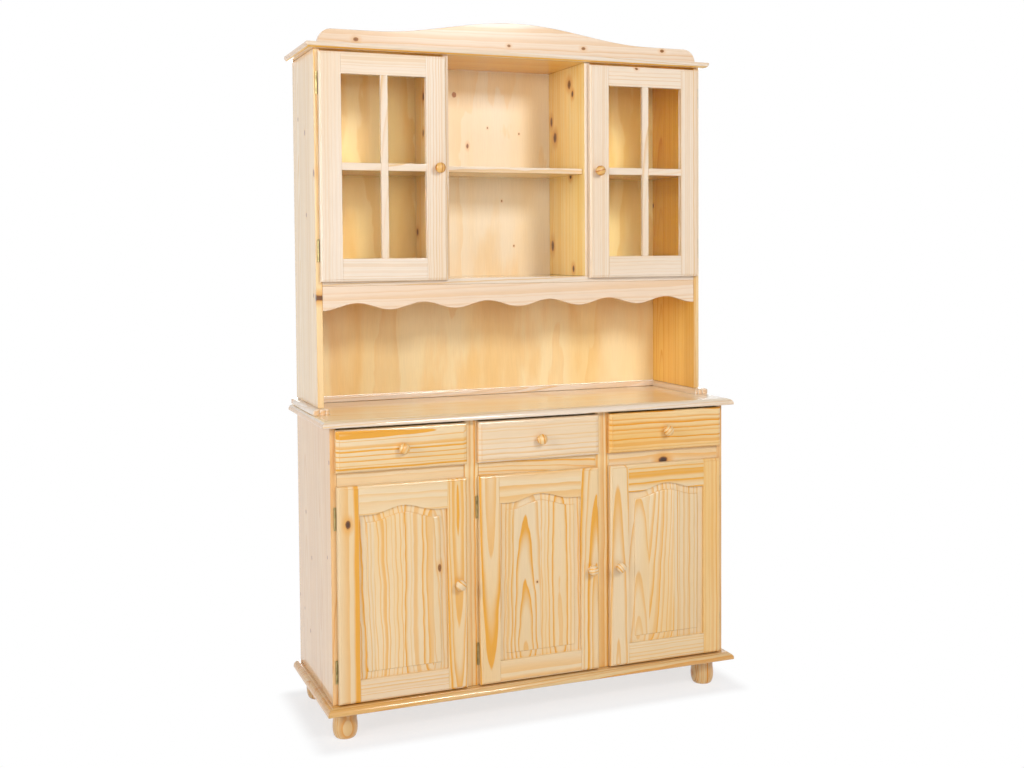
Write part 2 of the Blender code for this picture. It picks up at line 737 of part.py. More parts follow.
def add_glass_door(name, sign):
    """A glazed door: a frame with crossed bars, its pane, its knob and its hinges."""
    centre = sign * (SIDE_INNER + CUPBOARD_INNER) / 2
    half = (SIDE_INNER - CUPBOARD_INNER) / 2 + GLASS_DOOR_OVERLAP
    back = HUTCH_FRONT - DOOR_GAP
    face = back - BOARD
    opening_edge = sign * SIDE_INNER
    axis = hinge_axis(opening_edge, GLASS_DOOR_OVERLAP, sign, HUTCH_FRONT)
    empty = axis_empty(name + "_axis", (axis[0], axis[1], GLASS_DOOR_BOTTOM))
    frame = eased_front(
        name + "_frame",
        (centre - half, face, GLASS_DOOR_BOTTOM),
        (centre + half, back, GLASS_DOOR_TOP),
        DOOR_EDGE_ROUND,
        3,
    )
    half_pane = half - GLASS_DOOR_STILE
    middle = (PANE_BOTTOM + PANE_TOP) / 2
    columns = {
        "left": (centre - half_pane, centre - GLAZING_BAR / 2),
        "right": (centre + GLAZING_BAR / 2, centre + half_pane),
    }
    rows = {
        "lower": (PANE_BOTTOM, middle - GLAZING_BAR / 2),
        "upper": (middle + GLAZING_BAR / 2, PANE_TOP),
    }
    for column, (x_low, x_high) in columns.items():
        for row, (z_low, z_high) in rows.items():
            light = tool_board(
                "_".join((name, "light", row, column)),
                (x_low, face - CUT_MARGIN, z_low),
                (x_high, back + CUT_MARGIN, z_high),
            )
            combine(frame, light, "DIFFERENCE")
    rebate_half = half_pane + REBATE_WIDTH
    rebate_front = back - REBATE_DEPTH
    rebate = tool_board(
        name + "_rebate",
        (centre - rebate_half, rebate_front, PANE_BOTTOM - REBATE_WIDTH),
        (centre + rebate_half, back + CUT_MARGIN, PANE_TOP + REBATE_WIDTH),
    )
    combine(frame, rebate, "DIFFERENCE")
    hang(paint(frame, PALE_PINE), empty)
    pane_half = rebate_half - GAP
    pane = board(
        name + "_glass",
        (centre - pane_half, rebate_front + GAP, PANE_BOTTOM - REBATE_WIDTH + GAP),
        (centre + pane_half, rebate_front + GAP + GLASS_THICKNESS, PANE_TOP + REBATE_WIDTH - GAP),
    )
    hang(paint(pane, GLASS, 0.05, 0.0, 0.9), empty)
    knob_x = centre - sign * (half - KNOB_FROM_EDGE)
    add_knob(name + "_knob", knob_x, middle, face, empty)
    levels = hinge_levels(GLASS_DOOR_BOTTOM, GLASS_DOOR_TOP)
    add_hinges(name, opening_edge, axis, sign, HUTCH_FRONT, levels)


def add_drawer(name, centre):
    """A drawer: a bevelled front, a box that runs on the deck, and a knob."""
    half = BAY_WIDTH / 2 + DRAWER_OVERLAP
    bottom = RAIL_TOP - DRAWER_BOTTOM_OVERLAP
    top = WORKTOP_BOTTOM - DRAWER_TOP_CLEARANCE
    back = FRONT - GAP
    face = back - BOARD
    empty = axis_empty(name + "_axis", (centre, FRONT, RAIL_TOP))
    front = eased_front(
        name + "_front", (centre - half, face, bottom), (centre + half, back, top), DRAWER_EDGE_BEVEL, 3
    )
    hang(paint(front, PALE_PINE), empty)
    box_half = BAY_WIDTH / 2 - DRAWER_SIDE_CLEARANCE
    box_bottom = RAIL_TOP + GAP
    box_top = box_bottom + DRAWER_BOX_HEIGHT
    box_back = FRONT + DRAWER_BOX_DEPTH
    box = board(
        name + "_box", (centre - box_half, FRONT, box_bottom), (centre + box_half, box_back, box_top)
    )
    hollow = tool_board(
        name + "_hollow",
        (centre - box_half + DRAWER_WALL, FRONT + DRAWER_WALL, box_bottom + DRAWER_FLOOR),
        (centre + box_half - DRAWER_WALL, box_back - DRAWER_WALL, box_top + CUT_MARGIN),
    )
    combine(box, hollow, "DIFFERENCE")
    hang(paint(box, AMBER_PINE, 0.5), empty)
    add_knob(name + "_knob", centre, (bottom + top) / 2, face, empty)


for leftover in list(bpy.data.objects):
    bpy.data.objects.remove(leftover)
parts = new_collection("display_cabinet")
cutters = new_collection("cutters")
add_base_carcass()
add_hutch_carcass()
bay_centres = {"left": -2 * STILE_CENTRE, "centre": 0.0, "right": 2 * STILE_CENTRE}
for bay, bay_centre in bay_centres.items():
    add_base_door("base_door_" + bay, bay_centre, 1 if bay == "right" else -1)
    add_drawer("drawer_" + bay, bay_centre)
add_glass_door("glass_door_left", -1)
add_glass_door("glass_door_right", 1)
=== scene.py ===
"""The looks of a lacquered-pine display cabinet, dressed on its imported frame.

Metres, +Z up, front towards -Y. Every piece takes its place from the boxes of the frame's nodes.
"""

import math
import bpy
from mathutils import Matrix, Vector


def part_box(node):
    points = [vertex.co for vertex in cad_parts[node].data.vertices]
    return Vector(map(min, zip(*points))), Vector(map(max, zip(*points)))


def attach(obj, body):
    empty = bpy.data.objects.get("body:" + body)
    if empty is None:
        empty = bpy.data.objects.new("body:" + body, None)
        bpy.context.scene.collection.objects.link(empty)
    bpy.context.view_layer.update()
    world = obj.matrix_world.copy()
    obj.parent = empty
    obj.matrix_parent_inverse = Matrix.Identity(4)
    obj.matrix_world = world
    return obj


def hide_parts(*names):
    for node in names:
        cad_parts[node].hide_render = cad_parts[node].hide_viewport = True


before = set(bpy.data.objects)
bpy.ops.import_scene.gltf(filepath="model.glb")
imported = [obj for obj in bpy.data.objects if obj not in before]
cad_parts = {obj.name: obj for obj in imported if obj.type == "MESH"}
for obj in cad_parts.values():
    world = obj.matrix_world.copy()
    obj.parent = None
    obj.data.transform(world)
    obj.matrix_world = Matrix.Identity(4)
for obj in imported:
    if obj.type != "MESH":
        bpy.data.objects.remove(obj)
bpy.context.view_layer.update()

import zlib
from dataclasses import dataclass, replace

import bmesh
import bpy
from mathutils import Matrix, Vector

# Camera, fitted to the photograph's frame
FRAME_WIDTH = 1024
FOCAL_PIXELS = 1248.1
SENSOR_WIDTH = 36.0
CAMERA_PLACE = (-1.3968, -3.5117, 1.3556)
CAMERA_YAW = 21.637
CAMERA_PITCH = -2.414
CAMERA_ROLL = -0.405
CAMERA_SHIFT = -0.08

# Boards and clearances of the frame
BOARD = 0.018
GAP = 0.0003

# Edges that turn by less than this are shaded smooth
SHARP_ANGLE = math.radians(34)

# How far edges are eased: most boards, thin boards, panes, hinge leaves, and the bead at the hutch's back
EASE = 0.0012
THIN_EASE = 0.0008
PANE_EASE = 0.0006
LEAF_EASE = 0.0002
BEAD_EASE = 0.003

# Base doors
DOOR_STILE = 0.060
DOOR_BOTTOM_RAIL = 0.064
DOOR_TOP_RAIL = 0.082
RAIL_END = 0.0008
ARCH_RISE = 0.020
ARCH_HALF_SPAN = 0.095
ARCH_STEPS = 28
PANEL_TONGUE = 0.0077
PANEL_BEVEL = 0.020
PANEL_EDGE_SETBACK = 0.0080
PANEL_FIELD_SETBACK = 0.0015
PANEL_STEP = 0.0038
BEVEL_HOLLOW = 1.5
BEVEL_STEPS = 6
ROUND_STEPS = 5

# Glazed doors
GLASS_DOOR_STILE = 0.063
GLASS_DOOR_TOP_RAIL = 0.062
GLASS_DOOR_BOTTOM_RAIL = 0.066
GLAZING_BAR = 0.021
REBATE_DEPTH = 0.006

# Base and hutch
DECK_THICKNESS = 0.012
DRAWER_WALL = 0.012
DRAWER_FLOOR = 0.006
SHOE_BACK_DEPTH = 0.030
SHOE_INNER = 0.010
SHOE_LAP = 0.001
LOBE_DEPTH = 0.0045
LOBE_FULLNESS = 0.6
LOBE_STEPS = 8
APRON_WAVE = 0.020
APRON_SCALLOPS = 6
APRON_STEPS = 20
CROWN_SHOULDER = 0.041
CROWN_HALF_SPAN = 0.440
CROWN_CORNER = 0.040
CROWN_STEPS = 64
CORNER_STEPS = 12

# Hinges
HINGE_RADIUS = 0.003
KNUCKLES = 5
KNUCKLE_GAP = 0.0005
KNUCKLE_GROOVE = 0.82
BARREL_TIP = 0.7
BARREL_ROUND = 0.0008
DOOR_LEAF_WIDTH = 0.022
LEAF_THICKNESS = 0.0008
LEAF_MARGIN = 0.0005
LEAF_PROUD = 0.0001
SCREWS = 3
SCREW_PLACE = 0.55
SCREW_RADIUS = 0.0032
SCREW_HEAD = ((0.0, 0.0), (SCREW_RADIUS, 0.0), (SCREW_RADIUS * 0.9, -0.0003), (0.0, -0.0004))

# Turned pieces: steps, angles, and shares of their radius and of their height or length
TURNED_STEPS = 48
FOOT_NECK = 0.965
FOOT_WAIST = 0.94
FOOT_FLAT = 0.70
FOOT_WAIST_HEIGHT = 0.70
FOOT_BELLY_HEIGHT = 0.36
FOOT_STEPS = (6, 10, 12)
KNOB_STEM = ((0.0, 0.0), (0.68, 0.0), (0.68, 0.09), (0.50, 0.19))
KNOB_BALL_MIDDLE = 0.59
KNOB_BALL_ANGLES = (-60, 90)
KNOB_BALL_STEPS = 16

# Stage, with each lamp's place, its width and height, and its power
FLOOR_HALF = 30.0
FLOOR_COLOUR = (0.90, 0.91, 0.95, 1.0)
FLOOR_ROUGHNESS = 0.9
FLOOR_WHITE = 0.68
SHADOW_REACH = 0.06
SKY_LEVEL = 0.16
SKY_OVERHEAD = 0.04
AIM = (0.0, 0.0, 1.1)
LAMPS = {
    "key": ((1.3, -4.2, 3.3), (0.9, 0.9), 94.0),
    "side": ((-3.6, -1.6, 2.0), (1.8, 1.8), 70.0),
    "front": ((-0.9, -4.4, 2.0), (1.2, 1.2), 41.0),
    "rear": ((1.5, 4.6, 1.3), (3.2, 1.4), 100.0),
}

BAYS = ("left", "centre", "right")
SIDES = ("left", "right")

# Directions that the inside faces of boards look in, for the painted shade of the inner finish, and how
# nearly a face has to do so
RIGHTWARD = Vector((1.0, 0.0, 0.0))
LEFTWARD = Vector((-1.0, 0.0, 0.0))
UPWARD = Vector((0.0, 0.0, 1.0))
DOWNWARD = Vector((0.0, 0.0, -1.0))
BACKWARD = Vector((0.0, 1.0, 0.0))
FACING = 0.8

# How much painted shade, from the inner finish, the hutch's sides and back take in the niche, and its floor's
# top takes
NICHE_SHADE = 0.75
NICHE_BACK_SHADE = 0.6
FLOOR_TOP_SHADE = 0.45

# How far the rings of a log ripple, how unevenly wide they are, and how much they sway in short waves
RIPPLE = 0.0035
UNEVEN = 1.5
SWAY = 0.9

# Where in a ring its latewood is full, how faint the faintest ring is, and how ragged a peeled one is
LATE_FULL = 0.92
FAINTEST_RING = 0.3
RAGGED = 0.1

# Noise: how often it changes in a metre, along the grain, across it and through the board on wood,
# and along X, Y and Z on brass and glass; then how fine its detail is
RAGGED_SCALES = (7.0, 26.0, 26.0)
FLAME_SCALES = (0.45, 3.6, 3.6)
SWAY_SCALES = (9.0, 13.0, 13.0)
WOBBLE_SCALES = (2.4, 8.0, 8.0)
RIPPLE_SCALES = (11.0, 34.0, 34.0)
FIBRE_SCALES = (22.0, 520.0, 520.0)
BROAD_SCALES = (0.9, 9.0, 9.0)
SWIRL_SCALES = (60.0, 90.0, 90.0)
TARNISH_SCALES = (90.0, 90.0, 60.0)
SMUDGE_SCALES = (9.0, 9.0, 9.0)
FINE_DETAIL = 3.0
PATCH_DETAIL = 4.0

# How often the width of rings changes from ring to ring
UNEVEN_SCALES = (0.7, 0.7, 0.7)

# Smooth steps: the values that each goes between, and what it starts and ends with
LATE_FALL = (0.94, 1.0, 1.0, 0.0)
TINT_STEP = (-0.14, 0.22, 0.0, 0.8)
HALO_STEP = (0.9, 2.9, 0.85, 0.0)
KNOT_RING_STEP = (-1.0, 1.0, 0.0, 0.5)
KNOT_CORE_STEP = (0.45, 1.0, 1.0, 0.0)
KNOT_STEP = (0.75, 1.2, 1.0, 0.0)
TARNISH_STEP = (-0.15, 0.2, 0.0, 1.0)
SMUDGE_STEP = (0.1, 0.3, 0.0, 0.04)

# Knots, in their radii: the distance where a board has none, how far one darkens the wood,
# how close its rings are, how uneven it is, and how the grain flows round it
KNOT_FAR = 9.0
KNOT_REACH = 2.6
KNOT_RINGS = 15.0
KNOT_SWIRL = 0.5
FLOW_STRETCH = 0.4
FLOW_FADE = -0.16
FLOW_SOFTNESS = 0.35

# Logs of glued strips: how far the pith's place, depth and slope are spread, and their least values
PITH_CHANCES = ((0.24, -0.12), (0.05, 0.02), (0.16, -0.08))

# What sets apart the seeds of strips, of staves, of broad tints and of strips' shades
STRIP_SEED = 3.7
STAVE_SEED = 7.0
BROAD_SEED = 5.0
SHADE_SEED = 2.0

# Shade: how much fibres change it, and for strips how far chance goes and its least
FIBRE_SHADE = 0.16
STRIP_SHADE = (0.09, 0.955)

# How strongly rings and fibres stand out of the wood's face
BUMP_STRENGTH = 0.25
BUMP_DISTANCE = 0.0004
RING_BUMP = 0.5

# Roughness: how much fibres or tarnish change it, and what it is without them
WOOD_ROUGHNESS = (0.35, 0.36)
BRASS_ROUGHNESS = (0.2, 0.28)

# The gloss of bare wood, the roughness of the lacquer on boards and on peeled sheets, and the panes' index
WOOD_SPECULAR = 0.15
BOARD_COAT = 0.10
VENEER_COAT = 0.35
PANE_INDEX = 1.2

# Sockets of a Mix node that carry its colours
COLOUR_FIRST = 6
COLOUR_SECOND = 7
COLOUR_RESULT = 2


def seen(red, green, blue):
    """A colour as it looks on a screen, turned into the light that the shader works with."""
    def light(level):
        share = level / 255
        return share / 12.92 if share <= 0.04045 else ((share + 0.055) / 1.055) ** 2.4

    return (light(red), light(green), light(blue), 1.0)


def facing(*directions):
    """A rule that gives the inner finish, a painted shade, to the faces that look in one of some directions.
    """
    def share(polygon):
        return float(any(polygon.normal.dot(direction) > FACING for direction in directions))

    return share


@dataclass(frozen=True)
class Finish:
    """The colours of one kind of lacquered pine."""

    early: tuple
    late: tuple
    tint: tuple
    slot: str
    contrast: float = 1.0


@dataclass(frozen=True)
class Knot:
    """A knot on a board, placed from the board's middle along and across its grain."""

    along: float
    across: float
    radius: float
    stretch: float = 1.4
    dark: float = 0.45


@dataclass(frozen=True)
class Stave:
    """One strip of a board, up to its end across the board, and the log that it was sawn from.

    The pith lies at a place across the board and so far under its face, and it slopes along the board.
    """

    pith: tuple
    ring: float = 0.011
    late: float = 0.6
    contrast: float = 1.0
    end: float = 0.0


@dataclass(frozen=True)
class Timber:
    """How a board was made: its finish, its staves, and its knots.

    A strip width glues the board from strips of any log, and a peel makes its face a rotary-cut veneer.
    The inner finish is painted shade, a darker and warmer copy of the wood, and the rule named inside tells
    how much of it a face takes.
    The cut ends take a share of a tint of their own.
    """

    finish: Finish
    staves: tuple = (Stave((0.02, 0.05, 0.06)),)
    strip: float = 0.0
    peel: float = 0.0
    seed: float = 0.0
    wobble: float = 0.008
    knots: tuple = ()
    inner: Finish = None
    inside: object = facing()
    ends: float = 0.6


PALE = Finish(seen(234, 216, 196), seen(223, 184, 132), seen(230, 203, 170), "pine_pale", 1.0)
ROSY = Finish(seen(236, 214, 190), seen(226, 186, 140), seen(231, 200, 168), "pine_pale", 0.9)
TAN = Finish(seen(226, 182, 124), seen(212, 150, 74), seen(218, 167, 102), "pine_pale", 1.0)
WARM = Finish(seen(230, 204, 163), seen(226, 159, 42), seen(229, 188, 121), "pine", 1.15)
FAIR = Finish(seen(230, 207, 176), seen(224, 168, 84), seen(228, 195, 146), "pine", 1.1)
GOLD = Finish(seen(235, 205, 152), seen(224, 148, 18), seen(231, 176, 82), "pine", 1.15)
# A darker copy of the gold finish, painted shade on the low plinth and feet
SHADED_GOLD = Finish(seen(221, 187, 132), seen(210, 135, 16), seen(217, 160, 72), "pine", 1.15)
HONEY = Finish(seen(230, 182, 102), seen(190, 118, 26), seen(216, 158, 70), "pine", 1.15)
CREAM = Finish(seen(242, 210, 158), seen(228, 174, 94), seen(236, 195, 134), "pine_pale", 1.0)
# Shaded copies of the pine, for painted shade: darker, warmer colours for faces inside the cabinet, under
# boards, behind the glazed doors, and for the boards hidden in the base
SHADED_AMBER = Finish(seen(252, 228, 162), seen(246, 198, 92), seen(250, 214, 124), "pine_amber", 0.8)
SHADED_TAWNY = Finish(seen(251, 228, 164), seen(234, 174, 58), seen(247, 209, 120), "pine_amber", 1.1)
SHADED_RUSSET = Finish(seen(246, 194, 68), seen(228, 154, 20), seen(238, 174, 40), "pine_amber", 0.9)
PLY = Finish(seen(247, 234, 208), seen(242, 206, 138), seen(245, 220, 173), "pine_amber", 1.1)
KNOT_HALO = seen(224, 162, 76)
KNOT_LIVE = seen(150, 84, 28)
KNOT_DARK = seen(62, 32, 10)
END_GRAIN = seen(226, 170, 104)
BRASS_BRIGHT = seen(188, 172, 122)
BRASS_DULL = seen(138, 128, 88)
PANE_TINT = seen(244, 244, 242)
PANE_SHADE = seen(240, 242, 240)


def sawn(*staves, **others):
    """What a board has of its own: its staves, if it has any, and other fields of its timber."""
    return dict(others, staves=staves) if staves else others


# Boards that the photograph shows closely: how each was sawn, its knots and its finish
SAWN = {
    "base_door_left_stile_left": sawn(
        Stave((-0.212, 0.020, 0.0), 0.030, 0.7, 1.5),
        wobble=0.003,
        knots=(Knot(0.197, -0.001, 0.008, 1.6, 0.9),),
    ),
    "base_door_left_stile_right": sawn(Stave((0.001, 0.0194, -0.05), 0.014, 0.75, 1.4)),
    "base_door_left_rail_top": sawn(Stave((-0.150, 0.020, 0.0), 0.024, 0.6, 0.6), wobble=0.02),
    "base_door_left_rail_bottom": sawn(Stave((-0.120, 0.020, 0.0), 0.014, 0.6, 0.8), finish=FAIR),
    "base_door_left_panel_wood": sawn(
        Stave((-0.050, 0.045, -0.10), 0.014, 0.75, 1.7, end=-0.010),
        Stave((0.200, 0.020, 0.0), 0.010, 0.7, 0.6, end=0.077),
        Stave((-0.100, 0.020, 0.0), 0.0073, 0.7, 0.7),
        wobble=0.016,
        knots=(Knot(0.051, 0.104, 0.006, 2.0, 0.5),),
    ),
    "base_door_centre_stile_left": sawn(Stave((0.003, 0.032, -0.05), 0.018, 0.7, 1.4), wobble=0.006),
    "base_door_centre_stile_right": sawn(Stave((0.019, 0.0224, 0.07), 0.014, 0.7, 1.3)),
    "base_door_centre_rail_top": sawn(Stave((-0.200, 0.020, 0.0), 0.030, 0.7, 0.6), wobble=0.02),
    "base_door_centre_rail_bottom": sawn(Stave((0.200, 0.020, 0.0), 0.040, 0.7, 0.6)),
    "base_door_centre_panel_wood": sawn(
        Stave((-0.067, 0.030, 0.05), 0.012, 0.5, 0.5, end=-0.033),
        Stave((-0.250, 0.020, 0.0), 0.021, 0.6, 1.3, end=0.029),
        Stave((0.045, 0.032, -0.09), 0.012, 0.6, 1.2),
        wobble=0.014,
        knots=(Knot(-0.020, -0.012, 0.003, 1.2, 0.6),),
    ),
    "base_door_right_stile_left": sawn(Stave((-0.006, 0.030, 0.04), 0.016, 0.5, 1.0)),
    "base_door_right_stile_right": sawn(Stave((-0.200, 0.020, 0.0), 0.012, 0.5, 0.8), finish=GOLD),
    "base_door_right_rail_top": sawn(Stave((-0.100, 0.020, 0.0), 0.022, 0.6, 1.3)),
    "base_door_right_rail_bottom": sawn(Stave((0.120, 0.020, 0.0), 0.012, 0.5, 0.9)),
    "base_door_right_panel_wood": sawn(
        Stave((0.100, 0.020, 0.0), 0.0105, 0.7, 1.7, end=-0.026),
        Stave((-0.003, 0.036, -0.05), 0.022, 0.7, 1.6, end=0.024),
        Stave((-0.120, 0.030, 0.03), 0.0115, 0.7, 1.9),
    ),
    "drawer_left_knob_turned": sawn(Stave((0.230, 0.105, 0.0), 0.010, 0.6, 2.0)),
    "drawer_centre_knob_turned": sawn(Stave((0.245, -0.050, 0.0), 0.009, 0.6, 2.0)),
    "drawer_right_knob_turned": sawn(Stave((0.180, 0.180, 0.0), 0.008, 0.6, 2.0)),
    "base_door_left_knob_turned": sawn(Stave((0.160, -0.190, 0.0), 0.013, 0.5, 1.4)),
    "base_door_centre_knob_turned": sawn(Stave((0.025, 0.250, 0.0), 0.009, 0.6, 2.0)),
    "base_door_right_knob_turned": sawn(Stave((0.190, -0.160, 0.0), 0.010, 0.6, 2.0)),
    "glass_door_left_knob_turned": sawn(Stave((0.250, 0.0, 0.0), 0.012, 0.6, 2.2), finish=HONEY),
    "glass_door_right_knob_turned": sawn(Stave((0.065, 0.240, 0.0), 0.011, 0.6, 2.2), finish=HONEY),
    "foot_front_left_turned": sawn(Stave((0.004, -0.2481, 0.0), 0.0072, 0.5, 1.7)),
    "drawer_left_front_wood": sawn(Stave((0.045, 0.020, 0.03), 0.0125, 0.5, 1.5), wobble=0.004),
    "drawer_centre_front_wood": sawn(Stave((0.200, 0.020, 0.0), 0.016, 0.6, 0.6), finish=FAIR),
    "drawer_right_front_wood": sawn(Stave((0.080, 0.020, 0.0), 0.015, 0.6, 1.3), finish=GOLD),
    "drawer_rail_left": sawn(Stave((-0.120, 0.020, 0.01), 0.020, 0.5, 0.6)),
    "drawer_rail_centre": sawn(Stave((-0.040, 0.030, 0.10), 0.012, 0.5, 1.3)),
    "drawer_rail_right": sawn(
        Stave((-0.160, 0.020, 0.0), 0.020, 0.5, 0.6), knots=(Knot(-0.002, -0.014, 0.011, 1.5, 1.0),)
    ),
    "base_divider_left_stile": sawn(Stave((-0.150, 0.020, 0.0), 0.016, 0.6, 1.0), finish=GOLD),
    "base_divider_right_stile": sawn(Stave((-0.150, 0.020, 0.0), 0.014, 0.6, 1.0), finish=GOLD),
    "base_side_left_wood": sawn(knots=(
        Knot(0.093, 0.103, 0.005), Knot(-0.029, 0.033, 0.005), Knot(0.017, -0.166, 0.004),
        Knot(-0.179, 0.200, 0.005), Knot(-0.205, 0.137, 0.004), Knot(-0.253, 0.062, 0.005),
        Knot(0.286, -0.200, 0.005),
    )),
    "hutch_side_left_wood": sawn(knots=(
        Knot(0.327, 0.069, 0.005), Knot(0.280, -0.020, 0.006), Knot(0.158, -0.130, 0.008),
        Knot(0.043, -0.028, 0.005), Knot(-0.187, -0.109, 0.005), Knot(-0.193, -0.136, 0.008, 1.4, 0.9),
    )),
    "hutch_side_right_wood": sawn(knots=(
        Knot(0.083, 0.130, 0.006), Knot(0.177, 0.120, 0.006), Knot(-0.217, -0.037, 0.006),
    )),
    "crown_board_wood": sawn(knots=(
        Knot(-0.492, -0.029, 0.006), Knot(-0.027, -0.023, 0.004), Knot(0.216, -0.018, 0.005),
        Knot(0.485, -0.012, 0.005),
    )),
    "glass_door_right_stile_right": sawn(Stave((-0.150, 0.020, 0.0), 0.0075, 0.6, 1.4)),
    "glass_door_left_stile_right": sawn(Stave((0.120, 0.020, 0.02), 0.0090, 0.6, 1.2)),
    "glass_door_right_rail_top": sawn(
        Stave((0.045, 0.020, 0.02), 0.012, 0.5, 0.9), knots=(Knot(-0.030, 0.024, 0.004),)
    ),
    "hutch_back_panel_wood": sawn(knots=(
        Knot(0.426, -0.106, 0.008, 1.1, 0.0), Knot(0.326, 0.005, 0.0022), Knot(0.310, 0.113, 0.0022),
        Knot(0.267, -0.063, 0.004, 2.0), Knot(0.095, 0.052, 0.0022), Knot(-0.049, 0.093, 0.0022),
    )),
    "hutch_divider_left_wood": sawn(knots=(
        Knot(0.225, 0.047, 0.009, 1.5, 0.8), Knot(0.115, 0.051, 0.008, 1.5, 0.8),
        Knot(-0.185, 0.118, 0.009, 1.3, 0.8),
    )),
    "hutch_divider_right_wood": sawn(knots=(
        Knot(0.271, -0.025, 0.013, 1.1, 0.7), Knot(0.239, -0.049, 0.008, 1.3, 0.9),
        Knot(0.168, 0.115, 0.008, 1.9, 0.7), Knot(0.115, 0.087, 0.012, 1.4, 0.8),
        Knot(-0.013, -0.032, 0.009, 1.2, 0.9), Knot(-0.231, 0.110, 0.010, 1.8, 0.7),
        Knot(-0.303, -0.051, 0.008, 1.4, 0.9),
    )),
}


class Signal:
    """A value in a tree of shader nodes; reckoning with it adds Math nodes to the tree."""

    def __init__(self, socket):
        self.socket = socket
        self.tree = socket.id_data

    def apply(self, operation, *others):
        """The result of a Math node whose first value this is."""
        return value_of(self.tree, "Math", self, *others, operation=operation)

    def __add__(self, other):
        return self.apply("ADD", other)

    def __sub__(self, other):
        return self.apply("SUBTRACT", other)

    def __rsub__(self, other):
        return value_of(self.tree, "Math", other, self, operation="SUBTRACT")

    def __mul__(self, other):
        return self.apply("MULTIPLY", other)

    def __truediv__(self, other):
        return self.apply("DIVIDE", other)

    __radd__ = __add__


def wire(value, socket):
    """Join a signal to a node's input, or set the input to a plain value."""
    if isinstance(value, Signal):
        value.tree.links.new(value.socket, socket)
    else:
        socket.default_value = value


def new_node(tree, kind, *values, **settings):
    """A new node with some settings, and values for its first inputs."""
    node = tree.nodes.new("ShaderNode" + kind)
    for name, setting in settings.items():
        setattr(node, name, setting)
    for value, socket in zip(values, node.inputs):
        wire(value, socket)
    return node


def value_of(tree, kind, *values, **settings):
    """The first output of a new node."""
    return Signal(new_node(tree, kind, *values, **settings).outputs[0])


def reading(tree, kind, output, **settings):
    """An output, known by its name, of a new node that needs no values."""
    return Signal(new_node(tree, kind, **settings).outputs[output])


def set_inputs(node, inputs):
    """Join or set some of a node's inputs, known by their names."""
    for name, value in inputs.items():
        wire(value, node.inputs[name])


def new_material(name):
    """A new material, its tree of nodes, and its main shader."""
    material = bpy.data.materials.new(name)
    material.use_nodes = True
    tree = material.node_tree
    return material, tree, tree.nodes["Principled BSDF"]


def show_either(tree, share, first, second):
    """Make a material show one shader, or the other one by a share."""
    choice = value_of(tree, "MixShader", share, Signal(first.outputs[0]), Signal(second.outputs[0]))
    wire(choice, tree.nodes["Material Output"].inputs["Surface"])


def step_between(value, low, high, start=0.0, end=1.0):
    """A smooth step from start to end while a value goes from low to high."""
    return value_of(value.tree, "MapRange", value, low, high, start, end, interpolation_type="SMOOTHSTEP")


def mixed(tree, share, first, second, mode="MIX"):
    """Two colours mixed by a share."""
    node = new_node(tree, "Mix", share, data_type="RGBA", blend_type=mode)
    wire(first, node.inputs[COLOUR_FIRST])
    wire(second, node.inputs[COLOUR_SECOND])
    return Signal(node.outputs[COLOUR_RESULT])


def split(vector):
    """The three parts of a vector."""
    return [Signal(output) for output in new_node(vector.tree, "SeparateXYZ", vector).outputs]


def noise(vector, scales, seed, detail=2.0):
    """Noise that is stretched differently along each axis, around zero."""
    scaled = value_of(vector.tree, "VectorMath", vector, scales, operation="MULTIPLY")
    texture = new_node(vector.tree, "TexNoise", noise_dimensions="4D")
    set_inputs(texture, {"Vector": scaled, "W": seed, "Scale": 1.0, "Detail": detail})
    return Signal(texture.outputs[0]) - 0.5


def chances(number):
    """Three random numbers from 0 to 1 that belong to a number."""
    node = new_node(number.tree, "TexWhiteNoise", noise_dimensions="1D")
    wire(number, node.inputs["W"])
    return split(Signal(node.outputs["Color"]))


def knot_marks(along, across, knots):
    """How near the nearest knot is, in its radii, how dark it is, and how far the grain bends round it."""
    nearest = KNOT_FAR
    dark = 0.0
    bend = 0.0
    for knot in knots:
        reach = (along - knot.along) / (knot.radius * knot.stretch)
        side = (across - knot.across) / knot.radius
        side_square = side * side
        distance = (reach * reach + side_square).apply("SQRT")
        flow_reach = reach * FLOW_STRETCH
        flow = flow_reach * flow_reach + side_square
        fade = (flow * FLOW_FADE).apply("EXPONENT")
        push = side / (flow.apply("SQRT") + FLOW_SOFTNESS)
        bend = bend + push * fade * knot.radius
        near = distance.apply("LESS_THAN", KNOT_REACH)
        dark = (near * knot.dark).apply("MAXIMUM", dark)
        nearest = distance.apply("MINIMUM", nearest)
    return nearest, dark, bend


def strips_by_chance(across, timber):
    """The place inside a glued strip, the strip's seed, and a log of its own for each strip."""
    lane = across / timber.strip + timber.seed
    number = lane.apply("FLOOR")
    seed = number * STRIP_SEED
    pith = tuple(chance * spread + least for chance, (spread, least) in zip(chances(seed), PITH_CHANCES))
    return (lane - number - 0.5) * timber.strip, seed, Stave(pith)


def staves_by_hand(across, timber):
    """The place across the board, and the seed and the log of the stave there."""
    staves = timber.staves
    cuts = [across.apply("GREATER_THAN", stave.end) for stave in staves[:-1]]

    def pick(values):
        chosen = values[0]
        for cut, before, value in zip(cuts, values, values[1:]):
            chosen = cut * (value - before) + chosen
        return chosen

    pith = tuple(pick([stave.pith[i] for stave in staves]) for i in range(3))
    ring = pick([stave.ring for stave in staves])
    late = pick([stave.late for stave in staves])
    contrast = pick([stave.contrast for stave in staves])
    seed = pick([timber.seed + STAVE_SEED * i for i in range(len(staves))])
    return across, seed, Stave(pith, ring, late, contrast)


